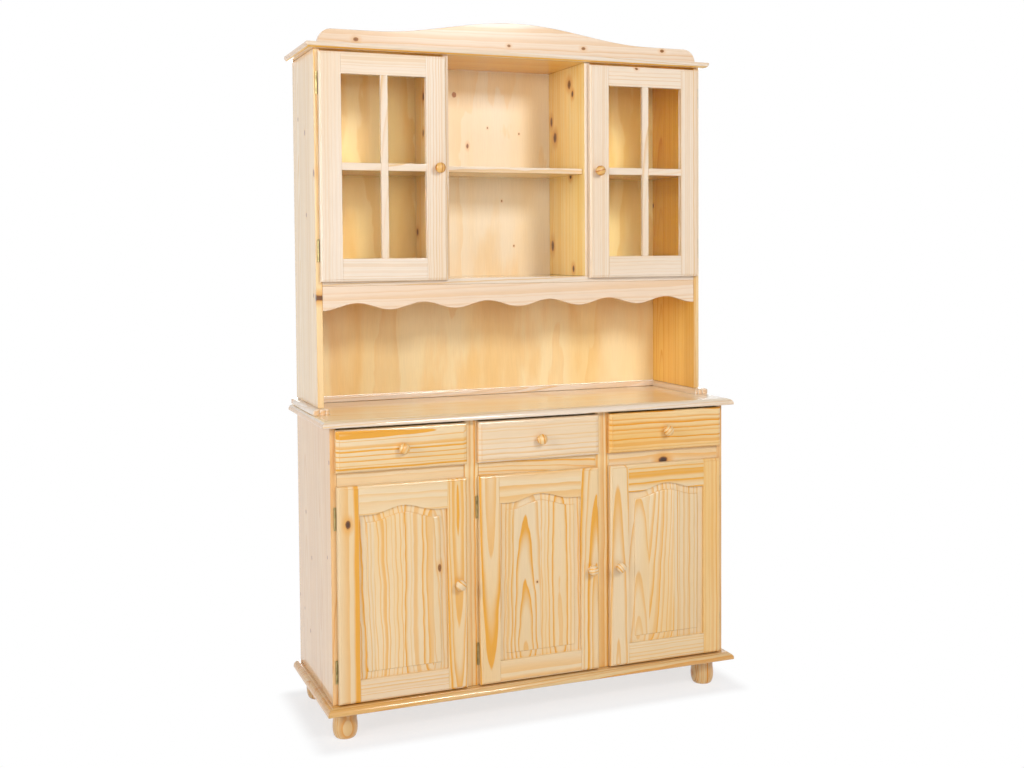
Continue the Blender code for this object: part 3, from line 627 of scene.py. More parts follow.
def ring_field(grain, timber, bend):
    """Latewood from 0 to 1 on a board sawn or peeled from a log, and the seed of the strip."""
    along, across, depth = split(grain)
    choose = strips_by_chance if timber.strip else staves_by_hand
    place, seed, log = choose(across, timber)
    pith_across, pith_depth, slope = log.pith
    inward = depth + (along * slope + pith_depth)
    if timber.peel:
        ragged = noise(grain, RAGGED_SCALES, seed, FINE_DETAIL) * RAGGED
        radius = (noise(grain, FLAME_SCALES, seed) + ragged) * timber.peel + inward
    else:
        sway = noise(grain, SWAY_SCALES, seed) * SWAY + noise(grain, WOBBLE_SCALES, seed)
        sideways = place + sway * timber.wobble - pith_across - bend
        radius = (sideways * sideways + inward * inward).apply("SQRT")
    radius = noise(grain, RIPPLE_SCALES, seed) * RIPPLE + radius
    phase = radius / log.ring
    phase = noise(phase, UNEVEN_SCALES, seed, 0.0) * UNEVEN + phase
    count = phase.apply("FLOOR")
    part = phase - count
    latewood = step_between(part, 1.0 - log.late, LATE_FULL) * step_between(part, *LATE_FALL)
    chance, _, _ = chances(count + seed)
    strength = (chance * (1 - FAINTEST_RING) + FAINTEST_RING) * log.contrast
    return latewood * strength, seed


def with_knots(colour, swirl, dark):
    """A board's colour with its knots: a halo, then rings around a dark core."""
    tree = colour.tree
    colour = mixed(tree, step_between(swirl, *HALO_STEP) * dark, colour, KNOT_HALO)
    rings = step_between((swirl * KNOT_RINGS).apply("SINE"), *KNOT_RING_STEP)
    wood = mixed(tree, rings, KNOT_LIVE, KNOT_HALO)
    wood = mixed(tree, step_between(swirl, *KNOT_CORE_STEP) * dark, wood, KNOT_DARK)
    return mixed(tree, step_between(swirl, *KNOT_STEP), colour, wood)


def pine(name, timber):
    """Clear-lacquered pine: rings, fibres, broad tints, knots, end grain, and the painted shade of an inner
    finish.
    """
    material, tree, shader = new_material(name)
    finish, inner = timber.finish, timber.inner
    early, late_colour, tint = finish.early, finish.late, finish.tint
    # Painted shade: where the inside attribute says, the inner finish's darker, warmer colours take over
    if inner:
        inside = reading(tree, "Attribute", "Fac", attribute_name="inside")
        early = mixed(tree, inside, early, inner.early)
        late_colour = mixed(tree, inside, late_colour, inner.late)
        tint = mixed(tree, inside, tint, inner.tint)
    grain = reading(tree, "Attribute", "Vector", attribute_name="grain")
    along, across, _ = split(grain)
    nearest, dark, bend = knot_marks(along, across, timber.knots)
    late, seed = ring_field(grain, timber, bend)
    late = (late * finish.contrast).apply("MINIMUM", 1.0)
    fibre = noise(grain, FIBRE_SCALES, seed, FINE_DETAIL)
    broad = noise(grain, BROAD_SCALES, seed + BROAD_SEED)
    colour = mixed(tree, step_between(broad, *TINT_STEP), early, tint)
    colour = mixed(tree, late, colour, late_colour)
    shade = fibre * FIBRE_SHADE + 1.0
    if timber.strip:
        _, lighter, _ = chances(seed + SHADE_SEED)
        shade = shade * (lighter * STRIP_SHADE[0] + STRIP_SHADE[1])
    grey = value_of(tree, "CombineXYZ", shade, shade, shade)
    colour = mixed(tree, 1.0, colour, grey, "MULTIPLY")
    ends = reading(tree, "Attribute", "Fac", attribute_name="end_grain")
    colour = mixed(tree, ends * timber.ends, colour, END_GRAIN)
    if timber.knots:
        swirl = noise(grain, SWIRL_SCALES, seed) * KNOT_SWIRL + nearest
        colour = with_knots(colour, swirl, dark)
    bump = new_node(tree, "Bump")
    height = late * RING_BUMP + fibre
    set_inputs(bump, {"Strength": BUMP_STRENGTH, "Distance": BUMP_DISTANCE, "Height": height})
    set_inputs(shader, {
        "Base Color": colour,
        "Roughness": fibre * WOOD_ROUGHNESS[0] + WOOD_ROUGHNESS[1],
        "Specular IOR Level": WOOD_SPECULAR,
        "Coat Weight": 1.0,
        "Coat Roughness": VENEER_COAT if timber.peel else BOARD_COAT,
        "Normal": Signal(bump.outputs[0]),
    })
    return material


def brass_material():
    """Worn brass with an olive tarnish."""
    material, tree, shader = new_material("brass")
    place = reading(tree, "TexCoord", "Object")
    tarnish = step_between(noise(place, TARNISH_SCALES, 1.0, PATCH_DETAIL), *TARNISH_STEP)
    set_inputs(shader, {
        "Base Color": mixed(tree, tarnish, BRASS_BRIGHT, BRASS_DULL),
        "Roughness": tarnish * BRASS_ROUGHNESS[0] + BRASS_ROUGHNESS[1],
        "Metallic": 1.0,
    })
    return material


def glass_material():
    """Clear window glass that lets lamps through, with a trace of smudges."""
    material, tree, shader = new_material("window_glass")
    place = reading(tree, "TexCoord", "Object")
    set_inputs(shader, {
        "Base Color": PANE_TINT,
        "Transmission Weight": 1.0,
        "IOR": PANE_INDEX,
        "Roughness": step_between(noise(place, SMUDGE_SCALES, 2.0, PATCH_DETAIL), *SMUDGE_STEP),
    })
    clear = new_node(tree, "BsdfTransparent", PANE_SHADE)
    show_either(tree, reading(tree, "LightPath", "Is Shadow Ray"), shader, clear)
    return material


def corners(*spans):
    """The low and the high corner of a box, from its spans along X, Y and Z."""
    return [Vector(ends) for ends in zip(*spans)]


def shares(steps, first=0):
    """Even shares of a whole, from a first step up to 1."""
    return [i / steps for i in range(first, steps + 1)]


def between(start, end, share):
    """The value at a share of the way from start to end."""
    return start + (end - start) * share


def hump(place):
    """A smooth wave that is 1 at even numbers and 0 at odd ones."""
    return (1 + math.cos(math.pi * place)) / 2


def eased_box(low, high, ease=EASE):
    """A board between two corners with all its edges eased."""
    bm = bmesh.new()
    bmesh.ops.create_cube(bm, size=1.0)
    bmesh.ops.scale(bm, vec=high - low, verts=bm.verts)
    bmesh.ops.translate(bm, vec=(low + high) / 2, verts=bm.verts)
    bmesh.ops.bevel(bm, geom=bm.edges[:], offset=ease, segments=2, profile=0.5, affect="EDGES")
    return bm


def through_rings(rings):
    """A closed mesh through like rings of points, capped at the first and the last."""
    bm = bmesh.new()
    loops = [[bm.verts.new(point) for point in ring] for ring in rings]
    for near, far in zip(loops, loops[1:]):
        for i in range(len(near)):
            j = (i + 1) % len(near)
            bm.faces.new((near[i], near[j], far[j], far[i]))
    bm.faces.new(loops[0])
    bm.faces.new(loops[-1])
    return bm


def relief(columns, back):
    """A closed mesh with a modelled front: columns of points from bottom to top, and a flat back."""
    bm = bmesh.new()
    front = [[bm.verts.new(point) for point in column] for column in columns]
    for left, right in zip(front, front[1:]):
        for i in range(len(left) - 1):
            bm.faces.new((left[i], right[i], right[i + 1], left[i + 1]))
    low = [bm.verts.new((column[0][0], back, column[0][2])) for column in columns]
    high = [bm.verts.new((column[-1][0], back, column[-1][2])) for column in columns]
    for i in range(len(columns) - 1):
        bm.faces.new((low[i + 1], low[i], high[i], high[i + 1]))
        bm.faces.new((low[i], low[i + 1], front[i + 1][0], front[i][0]))
        bm.faces.new((front[i][-1], front[i + 1][-1], high[i + 1], high[i]))
    bm.faces.new([low[0]] + front[0] + [high[0]])
    bm.faces.new([high[-1]] + front[-1][::-1] + [low[-1]])
    return bm


def turned(profile, centre, forward=False):
    """A turned mesh from a profile of radius and height, standing up or pointing forward."""
    bm = bmesh.new()
    rings = []
    for radius, height in profile:
        ring = []
        for i in range(TURNED_STEPS if radius else 1):
            angle = 2 * math.pi * i / TURNED_STEPS
            x = radius * math.cos(angle)
            z = radius * math.sin(angle)
            offset = Vector((x, -height, z)) if forward else Vector((x, z, height))
            ring.append(bm.verts.new(Vector(centre) + offset))
        rings.append(ring)
    for near, far in zip(rings, rings[1:]):
        for i in range(TURNED_STEPS):
            j = (i + 1) % TURNED_STEPS
            face = [near[i % len(near)], near[j % len(near)], far[j % len(far)], far[i % len(far)]]
            bm.faces.new(list(dict.fromkeys(face)))
    return bm


def ovolo(width, drop, quirk, steps=6):
    """An edge's profile of insets and setbacks: a round from the edge in, and a small step up to the face."""
    points = []
    for share in shares(steps):
        angle = math.pi / 2 * share
        points.append((width * (1 - math.cos(angle)), between(drop, quirk, math.sin(angle))))
    return points + [(width + quirk / 2, 0.0)]


PLAIN_EDGE = [(0.0, 0.0010), (0.0003, 0.0003), (0.0010, 0.0)]
DOOR_EDGE = ovolo(0.0062, 0.0080, 0.0018)
DRAWER_EDGE = ovolo(0.0100, 0.0080, 0.0016)
SHOE_EDGE = ovolo(0.005, 0.006, 0.0006)

# The moulding of a level board, with the small chamfer and the end of the flat band on its other side
PLINTH_EDGE = (ovolo(0.015, 0.0155, 0.0012, 8), 0.0015, 0.004)
WORKTOP_EDGE = (ovolo(0.016, 0.0155, 0.0008, 8), 0.0015, 0.003)
CORNICE_EDGE = (ovolo(0.012, 0.0115, 0.0008, 8), 0.0012, 0.004)


def across_board(start, end, start_profile, end_profile):
    """Places across a board with their setbacks, from one edge's profile to the other's."""
    near = [(start + inset, setback) for inset, setback in start_profile]
    far = [(end - inset, setback) for inset, setback in reversed(end_profile)]
    return near + far


def moulded_front(low, high, left=PLAIN_EDGE, right=PLAIN_EDGE, bottom=PLAIN_EDGE, top=PLAIN_EDGE):
    """A board whose front has a profile along each of its four edges."""
    columns = []
    for x, x_setback in across_board(low.x, high.x, left, right):
        rows = across_board(low.z, high.z, bottom, top)
        columns.append([(x, low.y + max(x_setback, z_setback), z) for z, z_setback in rows])
    return relief(columns, high.y)


def moulded_slab(low, high, edge, downward=False):
    """A level board with a moulding round its front and ends, on its upper or its lower side."""
    moulding, chamfer, band = edge
    plain, face, up = (high.z, low.z, -1) if downward else (low.z, high.z, 1)
    profile = [(chamfer, plain), (0.0, plain + up * chamfer), (0.0, plain + up * band)]
    profile += [(inset, face - up * setback) for inset, setback in moulding]
    rings = []
    for inset, z in profile:
        left, right, front = low.x + inset, high.x - inset, low.y + inset
        rings.append([(left, front, z), (right, front, z), (right, high.y, z), (left, high.y, z)])
    return through_rings(rings)


def outline_slab(points, front, back, ease=EASE):
    """An upright board cut to an outline in X and Z, with its front and back edges eased."""
    inner = inset_outline(points, ease)
    layers = ((inner, front), (points, front + ease), (points, back - ease), (inner, back))
    return through_rings([[(x, y, z) for x, z in outline] for outline, y in layers])


def inset_outline(points, distance):
    """A closed outline moved inwards; the points run anticlockwise."""
    moved = []
    for i, (x, z) in enumerate(points):
        before = Vector(points[i - 1])
        after = Vector(points[(i + 1) % len(points)])
        here = Vector((x, z))
        first = (here - before).normalized()
        second = (after - here).normalized()
        inward = Vector((-first.y, first.x)) + Vector((-second.y, second.x))
        inward = inward / max(inward.length_squared / 2, 0.5)
        moved.append(tuple(here + inward * distance))
    return moved


def spread_grain(mesh, layout, inside):
    """Write each point's place along, across and through the board, which faces are ends, and how much
    painted shade each face takes.
    """
    axes = ["xyz".index(letter) for letter in layout]
    points = [vertex.co for vertex in mesh.vertices]
    middle = [(min(p[i] for p in points) + max(p[i] for p in points)) / 2 for i in range(3)]
    grain = mesh.attributes.new("grain", "FLOAT_VECTOR", "POINT")
    for datum, point in zip(grain.data, points):
        datum.vector = [point[axis] - middle[axis] for axis in axes]
    ends = mesh.attributes.new("end_grain", "FLOAT", "FACE")
    for datum, polygon in zip(ends.data, mesh.polygons):
        datum.value = float(abs(polygon.normal[axes[0]]) > FACING)
    # How much painted shade each face takes
    inner = mesh.attributes.new("inside", "FLOAT", "FACE")
    for datum, polygon in zip(inner.data, mesh.polygons):
        datum.value = inside(polygon)


def add_piece(name, bm, material, body, nodes, layout=None, inside=None):
    """Turn a mesh into a named piece that rides on a body and stands for nodes of the frame."""
    bmesh.ops.recalc_face_normals(bm, faces=bm.faces)
    for face in bm.faces:
        face.smooth = True
    for edge in bm.edges:
        edge.smooth = edge.calc_face_angle(0) < SHARP_ANGLE
    mesh = bpy.data.meshes.new(name)
    bm.to_mesh(mesh)
    bm.free()
    if layout:
        spread_grain(mesh, layout, inside)
    mesh.materials.append(material)
    obj = bpy.data.objects.new(name, mesh)
    bpy.context.scene.collection.objects.link(obj)
    normals = obj.modifiers.new("even_normals", "WEIGHTED_NORMAL")
    normals.keep_sharp = True
    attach(obj, body)
    if nodes:
        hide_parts(*nodes)


def add_timber(name, bm, timber, layout, nodes, body="cabinet"):
    """A wooden piece, sawn as its name's own entry says."""
    seed = zlib.crc32(name.encode()) % 1000 / 10
    own = replace(timber, seed=seed, **SAWN.get(name, {}))
    add_piece(name, bm, pine(name, own), body, nodes, layout, own.inside)


def add_board(node, timber, layout, ease=EASE):
    """A plain board of the frame with eased edges."""
    add_timber(node + "_wood", eased_box(*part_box(node), ease), timber, layout, [node])


def middle_of(node):
    """The middle of a node's box."""
    low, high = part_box(node)
    return (low + high) / 2


def foot_profile(radius, height):
    """A bun foot from its top down: a slight waist, a belly and a rounded sole."""
    neck, waist, flat = radius * FOOT_NECK, radius * FOOT_WAIST, radius * FOOT_FLAT
    waist_height, belly = height * FOOT_WAIST_HEIGHT, height * FOOT_BELLY_HEIGHT
    neck_steps, belly_steps, sole_steps = FOOT_STEPS
    profile = [(0.0, height)]
    for share in shares(neck_steps):
        profile.append((between(waist, neck, hump(share)), between(height, waist_height, share)))
    for share in shares(belly_steps, 1):
        profile.append((between(radius, waist, hump(share)), between(waist_height, belly, share)))
    for share in shares(sole_steps, 1):
        angle = math.pi / 2 * share
        profile.append((between(flat, radius, math.cos(angle)), belly * (1 - math.sin(angle))))
    return profile + [(0.0, 0.0)]


def knob_profile(radius, length):
    """A turned knob from its base out: a collar, a neck and a ball."""
    ball_middle = length * KNOB_BALL_MIDDLE
    profile = [(radius * across, length * out) for across, out in KNOB_STEM]
    for share in shares(KNOB_BALL_STEPS)[:-1]:
        angle = math.radians(between(*KNOB_BALL_ANGLES, share))
        profile.append((radius * math.cos(angle), between(ball_middle, length, math.sin(angle))))
    return profile + [(0.0, length)]


def add_knob(body):
    """A turned knob on a door or drawer, with its grain along its axis."""
    node = body + "_knob"
    low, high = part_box(node)
    centre = ((low.x + high.x) / 2, high.y, (low.z + high.z) / 2)
    mesh = turned(knob_profile((high.x - low.x) / 2, high.y - low.y), centre, forward=True)
    finish = WARM if body.startswith("base_door") else GOLD
    timber = Timber(finish, (Stave((0.25, 0.0, 0.0), 0.010, 0.6, 2.0),), wobble=0.003, ends=0.1)
    add_timber(node + "_turned", mesh, timber, "yxz", [node], body)


def add_base():
    """Feet, plinth, sides, dividers, deck, back and worktop."""
    for corner in ("front_left", "front_right", "rear_left", "rear_right"):
        node = "foot_" + corner
        low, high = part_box(node)
        centre = ((low.x + high.x) / 2, (low.y + high.y) / 2, low.z)
        mesh = turned(foot_profile((high.x - low.x) / 2, high.z - low.z), centre)
        # The feet take the darker copy of the gold finish, painted shade
        timber = Timber(SHADED_GOLD, (Stave((0.300, 0.020, 0.0), 0.0064, 0.5, 1.7),), wobble=0.004)
        add_timber(node + "_turned", mesh, timber, "zxy", [node])
    plinth = moulded_slab(*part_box("plinth_board"), PLINTH_EDGE)
    # The plinth takes the darker copy of the gold finish, painted shade
    add_timber("plinth_wood", plinth, Timber(SHADED_GOLD, strip=0.11), "xyz", ["plinth_board"])
    for side, inside in (("left", RIGHTWARD), ("right", LEFTWARD)):
        # The inner faces of the base sides take painted shade
        add_board("base_side_" + side, Timber(TAN, strip=0.075, inner=SHADED_AMBER, inside=facing(inside)), "zyx")
        add_divider(side)
    add_deck()
    back = Timber(PLY, (Stave((0.0, 0.1, 0.0), 0.030, 0.6, 0.5),), peel=0.16)
    add_board("base_back_panel", back, "zxy", THIN_EASE)
    top = moulded_slab(*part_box("worktop"), WORKTOP_EDGE)
    # Painted light on the worktop: its moulded edges take the paler finish as a painted highlight, and its
    # top the warmer sheet colours
    timber = Timber(PALE, strip=0.085, inner=PLY, inside=facing(UPWARD))
    add_timber("worktop_wood", top, timber, "xyz", ["worktop"])


def add_divider(side):
    """A base partition in two boards, above and below the deck, behind a wider front stile."""
    node = "base_divider_" + side
    low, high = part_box(node)
    deck_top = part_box("drawer_deck")[1].z
    stile = eased_box(*corners((low.x, high.x), (low.y, low.y + BOARD), (low.z, high.z)))
    add_timber(node + "_stile", stile, Timber(WARM), "zxy", [node])
    middle = (low.x + high.x) / 2
    thickness = (middle - BOARD / 2, middle + BOARD / 2)
    heights = {"lower": (low.z, deck_top - DECK_THICKNESS - GAP), "upper": (deck_top + GAP, high.z)}
    for place, height in heights.items():
        # The boards inside the base take a shaded copy of the pine, painted shade
        board = eased_box(*corners(thickness, (low.y + BOARD, high.y), height))
        add_timber(node + "_" + place, board, Timber(SHADED_AMBER, strip=0.09), "zyx", [node])


def add_deck():
    """The board under the drawers, and the rail in front of it in each bay."""
    node = "drawer_deck"
    low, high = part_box(node)
    depth = (low.y + BOARD + GAP, high.y)
    deck = eased_box(*corners((low.x, high.x), depth, (high.z - DECK_THICKNESS, high.z)))
    # The deck inside the base takes a shaded copy of the pine, painted shade
    add_timber("drawer_deck_board", deck, Timber(SHADED_AMBER, strip=0.09), "xyz", [node])
    left_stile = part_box("base_divider_left")
    right_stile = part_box("base_divider_right")
    spans = {
        "left": (low.x, left_stile[0].x - GAP),
        "centre": (left_stile[1].x + GAP, right_stile[0].x - GAP),
        "right": (right_stile[1].x + GAP, high.x),
    }
    for bay, span in spans.items():
        rail = eased_box(*corners(span, (low.y, low.y + BOARD), (low.z, high.z)), THIN_EASE)
        add_timber("drawer_rail_" + bay, rail, Timber(WARM), "xzy", [node])


def add_shoe():
    """The moulded frame under the hutch: a lobed shoe under each side, and a bead along the back."""
    node = "hutch_base_frame"
    low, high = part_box(node)
    side_low, side_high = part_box("hutch_side_left")
    inner = side_high.x + SHOE_INNER
    back = high.y - SHOE_BACK_DEPTH
    edges = (low.x, side_low.x + SHOE_LAP, side_high.x - SHOE_LAP, inner)
    plan = []
    for start, end in zip(edges, edges[1:]):
        for share in shares(LOBE_STEPS):
            bulge = math.sin(math.pi * share) ** LOBE_FULLNESS
            plan.append((between(start, end, share), low.y + LOBE_DEPTH * (1 - bulge)))
    plan += [(inner, back), (low.x, back)]
    centre = (low.x + inner) / 2
    half = (inner - low.x) / 2
    profile = [(0.0, low.z)] + [(inset, high.z - setback) for inset, setback in SHOE_EDGE]
    for side, sign in (("left", 1), ("right", -1)):
        rings = []
        for inset, height in profile:
            ring = []
            for x, y in plan:
                pulled = centre + (x - centre) * (1 - inset / half)
                ring.append((sign * pulled, y + (inset if y < side_low.y else 0.0), height))
            rings.append(ring)
        add_timber("hutch_shoe_" + side, through_rings(rings), Timber(PALE), "yxz", [node])
    bead = eased_box(*corners((low.x, high.x), (back, high.y), (low.z, high.z)), BEAD_EASE)
    add_timber("hutch_shoe_back", bead, Timber(PALE), "xzy", [node])


def apron_outline(low, high):
    """A straight top edge and a row of scallops below it, anticlockwise."""
    points = []
    for share in shares(APRON_SCALLOPS * APRON_STEPS):
        lift = APRON_WAVE * (1 - hump(2 * APRON_SCALLOPS * share))
        points.append((between(low.x, high.x, share), low.z + lift))
    return points + [(high.x, high.z), (low.x, high.z)]


def round_corner(x, z, start):
    """A quarter of a round corner about a point, anticlockwise from an angle."""
    angles = [start + math.pi / 2 * share for share in shares(CORNER_STEPS)]
    return [(x + CROWN_CORNER * math.cos(angle), z + CROWN_CORNER * math.sin(angle)) for angle in angles]


def crown_outline(low, high):
    """A straight foot, round ends, level shoulders and a wave up to the middle, anticlockwise."""
    middle = (low.x + high.x) / 2
    shoulder = low.z + CROWN_SHOULDER
    rise = high.z - shoulder
    points = [(low.x, low.z), (high.x, low.z)]
    points += round_corner(high.x - CROWN_CORNER, shoulder - CROWN_CORNER, 0.0)
    for share in shares(CROWN_STEPS):
        place = between(1, -1, share)
        points.append((middle + CROWN_HALF_SPAN * place, shoulder + rise * hump(place)))
    return points + round_corner(low.x + CROWN_CORNER, shoulder - CROWN_CORNER, math.pi / 2)


def cut_through(bm, place, direction):
    """Cut a mesh's faces along a plane, so that each part can take a painted shade of its own."""
    whole = bm.verts[:] + bm.edges[:] + bm.faces[:]
    bmesh.ops.bisect_plane(bm, geom=whole, plane_co=place, plane_no=direction)


def add_hutch_back():
    """The peeled sheet behind the hutch, with painted shade behind the glazed doors and in the niche."""
    node = "hutch_back_panel"
    sheet = eased_box(*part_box(node), THIN_EASE)
    left, right = [middle_of("hutch_divider_" + side) for side in SIDES]
    floor = middle_of("hutch_floor_board")
    for place, direction in ((left, RIGHTWARD), (right, RIGHTWARD), (floor, UPWARD)):
        cut_through(sheet, place, direction)

    # Painted shade: full behind the glazed doors, a share in the niche, none in the open middle bay
    def share(polygon):
        if polygon.normal.y > -FACING:
            return 0.0
        if polygon.center.z < floor.z:
            return NICHE_BACK_SHADE
        return 0.0 if left.x < polygon.center.x < right.x else 1.0

    timber = Timber(PLY, (Stave((0.0, 0.1, 0.0), 0.030, 0.6),), peel=0.16, inner=SHADED_TAWNY, inside=share)
    add_timber(node + "_wood", sheet, timber, "zxy", [node])


def add_hutch_side(side, inside):
    """A hutch side whose inner face takes painted shade, darker behind the glazed door than in the open
    niche.
    """
    node = "hutch_side_" + side
    board = eased_box(*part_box(node))
    floor = middle_of("hutch_floor_board")
    cut_through(board, floor, UPWARD)

    # Painted shade on the inner face: full above the floor, a share in the niche
    def share(polygon):
        glazed = 1.0 if polygon.center.z > floor.z else NICHE_SHADE
        return glazed if polygon.normal.dot(inside) > FACING else 0.0

    timber = Timber(CREAM, strip=0.07, inner=SHADED_RUSSET, inside=share)
    add_timber(node + "_wood", board, timber, "zyx", [node])


def add_hutch():
    """Shoe, sides, dividers, floor, shelves, back, apron, crown and cornice."""
    add_shoe()
    upright, level, under = facing(LEFTWARD, RIGHTWARD), facing(UPWARD, DOWNWARD), facing(DOWNWARD)
    for side, inside in (("left", RIGHTWARD), ("right", LEFTWARD)):
        add_hutch_side(side, inside)
        # The dividers' side faces take painted shade
        add_board("hutch_divider_" + side, Timber(PALE, strip=0.09, inner=SHADED_AMBER, inside=upright), "zyx")

    # Painted shade: the floor board's underside fully, its top in part
    def floor_shade(polygon):
        return max(under(polygon), level(polygon) * FLOOR_TOP_SHADE)

    add_board("hutch_floor_board", Timber(PALE, strip=0.09, inner=SHADED_RUSSET, inside=floor_shade), "xyz")
    for bay in BAYS:
        # The shelves' tops and undersides take painted shade
        add_board("hutch_shelf_" + bay, Timber(PALE, strip=0.08, inner=SHADED_AMBER, inside=level), "xyz")
    add_hutch_back()
    low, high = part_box("scalloped_apron")
    apron = outline_slab(apron_outline(low, high), low.y, high.y)
    # The apron's back takes painted shade
    timber = Timber(ROSY, (Stave((0.05, 0.06, 0.02)),), inner=SHADED_RUSSET, inside=facing(BACKWARD))
    add_timber("scalloped_apron_wood", apron, timber, "xzy", ["scalloped_apron"])
    low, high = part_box("crown_board")
    crown = outline_slab(crown_outline(low, high), low.y, high.y)
    add_timber("crown_board_wood", crown, Timber(ROSY, (Stave((0.06, 0.05, 0.02)),)), "xzy", ["crown_board"])
    cornice = moulded_slab(*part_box("cornice_board"), CORNICE_EDGE, downward=True)
    # The cornice's underside takes painted shade
    timber = Timber(PALE, strip=0.1, inner=SHADED_RUSSET, inside=under)
    add_timber("cornice_wood", cornice, timber, "xyz", ["cornice_board"])


def arch_lift(x):
    """How far the arch rises above its shoulders at a distance from its middle."""
    return ARCH_RISE * hump(x / ARCH_HALF_SPAN) if abs(x) <= ARCH_HALF_SPAN else 0.0


def arched_outline(half, bottom, shoulder, centre):
    """An opening with a wave in its top edge, anticlockwise."""
    points = [(centre - half, bottom), (centre + half, bottom), (centre + half, shoulder)]
    for share in shares(ARCH_STEPS):
        x = between(ARCH_HALF_SPAN, -ARCH_HALF_SPAN, share)
        points.append((centre + x, shoulder + arch_lift(x)))
    return points + [(centre - half, shoulder)]


def waved_rail(low, high, centre):
    """A door's top rail: moulded along its top edge and waved along its lower one."""
    arch = [centre + between(-ARCH_HALF_SPAN, ARCH_HALF_SPAN, share) for share in shares(ARCH_STEPS)]
    places = [low.x, low.x + RAIL_END] + arch + [high.x - RAIL_END, high.x]
    columns = []
    for x in places:
        rows = across_board(low.z + arch_lift(x - centre), high.z, PLAIN_EDGE, DOOR_EDGE)
        columns.append([(x, low.y + setback, z) for z, setback in rows])
    return relief(columns, high.y)


def add_stiles(body, timber, width):
    """A door's two stiles, moulded along all edges but the inner one."""
    node = body + "_frame"
    low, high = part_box(node)
    stiles = {
        "left": ((low.x, low.x + width), DOOR_EDGE, PLAIN_EDGE),
        "right": ((high.x - width, high.x), PLAIN_EDGE, DOOR_EDGE),
    }
    for side, (span, left, right) in stiles.items():
        ends = corners(span, (low.y, high.y), (low.z, high.z))
        stile = moulded_front(*ends, left, right, DOOR_EDGE, DOOR_EDGE)
        add_timber(body + "_stile_" + side, stile, timber, "zxy", [node], body)


def add_base_door(body):
    """A framed door: two stiles, a waved top rail, a bottom rail, a raised panel and a knob."""
    node = body + "_frame"
    low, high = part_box(node)
    centre = (low.x + high.x) / 2
    inner_left, inner_right = low.x + DOOR_STILE, high.x - DOOR_STILE
    sill, shoulder = low.z + DOOR_BOTTOM_RAIL, high.z - DOOR_TOP_RAIL
    width, depth = (inner_left, inner_right), (low.y, high.y)
    add_stiles(body, Timber(WARM), DOOR_STILE)
    bottom = moulded_front(*corners(width, depth, (low.z, sill)), bottom=DOOR_EDGE)
    add_timber(body + "_rail_bottom", bottom, Timber(WARM), "xzy", [node], body)
    top = waved_rail(*corners(width, depth, (shoulder, high.z)), centre)
    add_timber(body + "_rail_top", top, Timber(WARM), "xzy", [node], body)
    add_raised_panel(body, centre, (inner_right - inner_left) / 2, sill, shoulder, low.y)
    add_knob(body)


def add_raised_panel(body, centre, half, sill, shoulder, face):
    """A panel with a hollow bevel, a small rounded step and a flat field that follows the arch."""
    node = body + "_panel"
    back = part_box(node)[1].y
    sections = [(PANEL_TONGUE, back), (PANEL_TONGUE, face + PANEL_EDGE_SETBACK)]
    step_foot = face + PANEL_FIELD_SETBACK + PANEL_STEP
    drop = face + PANEL_EDGE_SETBACK - step_foot
    for share in shares(BEVEL_STEPS):
        sections.append((-PANEL_BEVEL * share, step_foot + drop * (1 - share) ** BEVEL_HOLLOW))
    for share in shares(ROUND_STEPS, 1):
        angle = math.pi / 2 * share
        inset = PANEL_BEVEL + PANEL_STEP * (1 - math.cos(angle))
        sections.append((-inset, step_foot - PANEL_STEP * math.sin(angle)))
    rings = []
    for grow, y in sections:
        outline = arched_outline(half + grow, sill - grow, shoulder + grow, centre)
        rings.append([(x, y, z) for x, z in outline])
    add_timber(body + "_panel_wood", through_rings(rings), Timber(WARM, strip=0.085), "zxy", [node], body)


def add_glass_door(body, glass):
    """A glazed door: stiles, rails, crossed bars, a pane and a knob."""
    node = body + "_frame"
    low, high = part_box(node)
    inner_left, inner_right = low.x + GLASS_DOOR_STILE, high.x - GLASS_DOOR_STILE
    sill, head = low.z + GLASS_DOOR_BOTTOM_RAIL, high.z - GLASS_DOOR_TOP_RAIL
    quiet = Timber(PALE, (Stave((0.14, 0.03, 0.02), 0.010, 0.6, 0.6),))
    add_stiles(body, quiet, GLASS_DOOR_STILE)
    rails = {"bottom": ((low.z, sill), DOOR_EDGE, PLAIN_EDGE), "top": ((head, high.z), PLAIN_EDGE, DOOR_EDGE)}
    for place, (span, bottom, top) in rails.items():
        ends = corners((inner_left, inner_right), (low.y, high.y), span)
        rail = moulded_front(*ends, bottom=bottom, top=top)
        add_timber(body + "_rail_" + place, rail, quiet, "xzy", [node], body)
    depth = (low.y, high.y - REBATE_DEPTH)
    middle_x, middle_z = (inner_left + inner_right) / 2, (sill + head) / 2
    half = GLAZING_BAR / 2
    level = (middle_z - half, middle_z + half)
    bars = {
        "upright": ((middle_x - half, middle_x + half), (sill, head), "zxy"),
        "left": ((inner_left, middle_x - half), level, "xzy"),
        "right": ((middle_x + half, inner_right), level, "xzy"),
    }
    for place, (width, height, layout) in bars.items():
        bar = eased_box(*corners(width, depth, height))
        add_timber(body + "_bar_" + place, bar, Timber(PALE), layout, [node], body)
    pane = eased_box(*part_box(body + "_glass"), PANE_EASE)
    add_piece(body + "_pane", pane, glass, body, [body + "_glass"])
    add_knob(body)


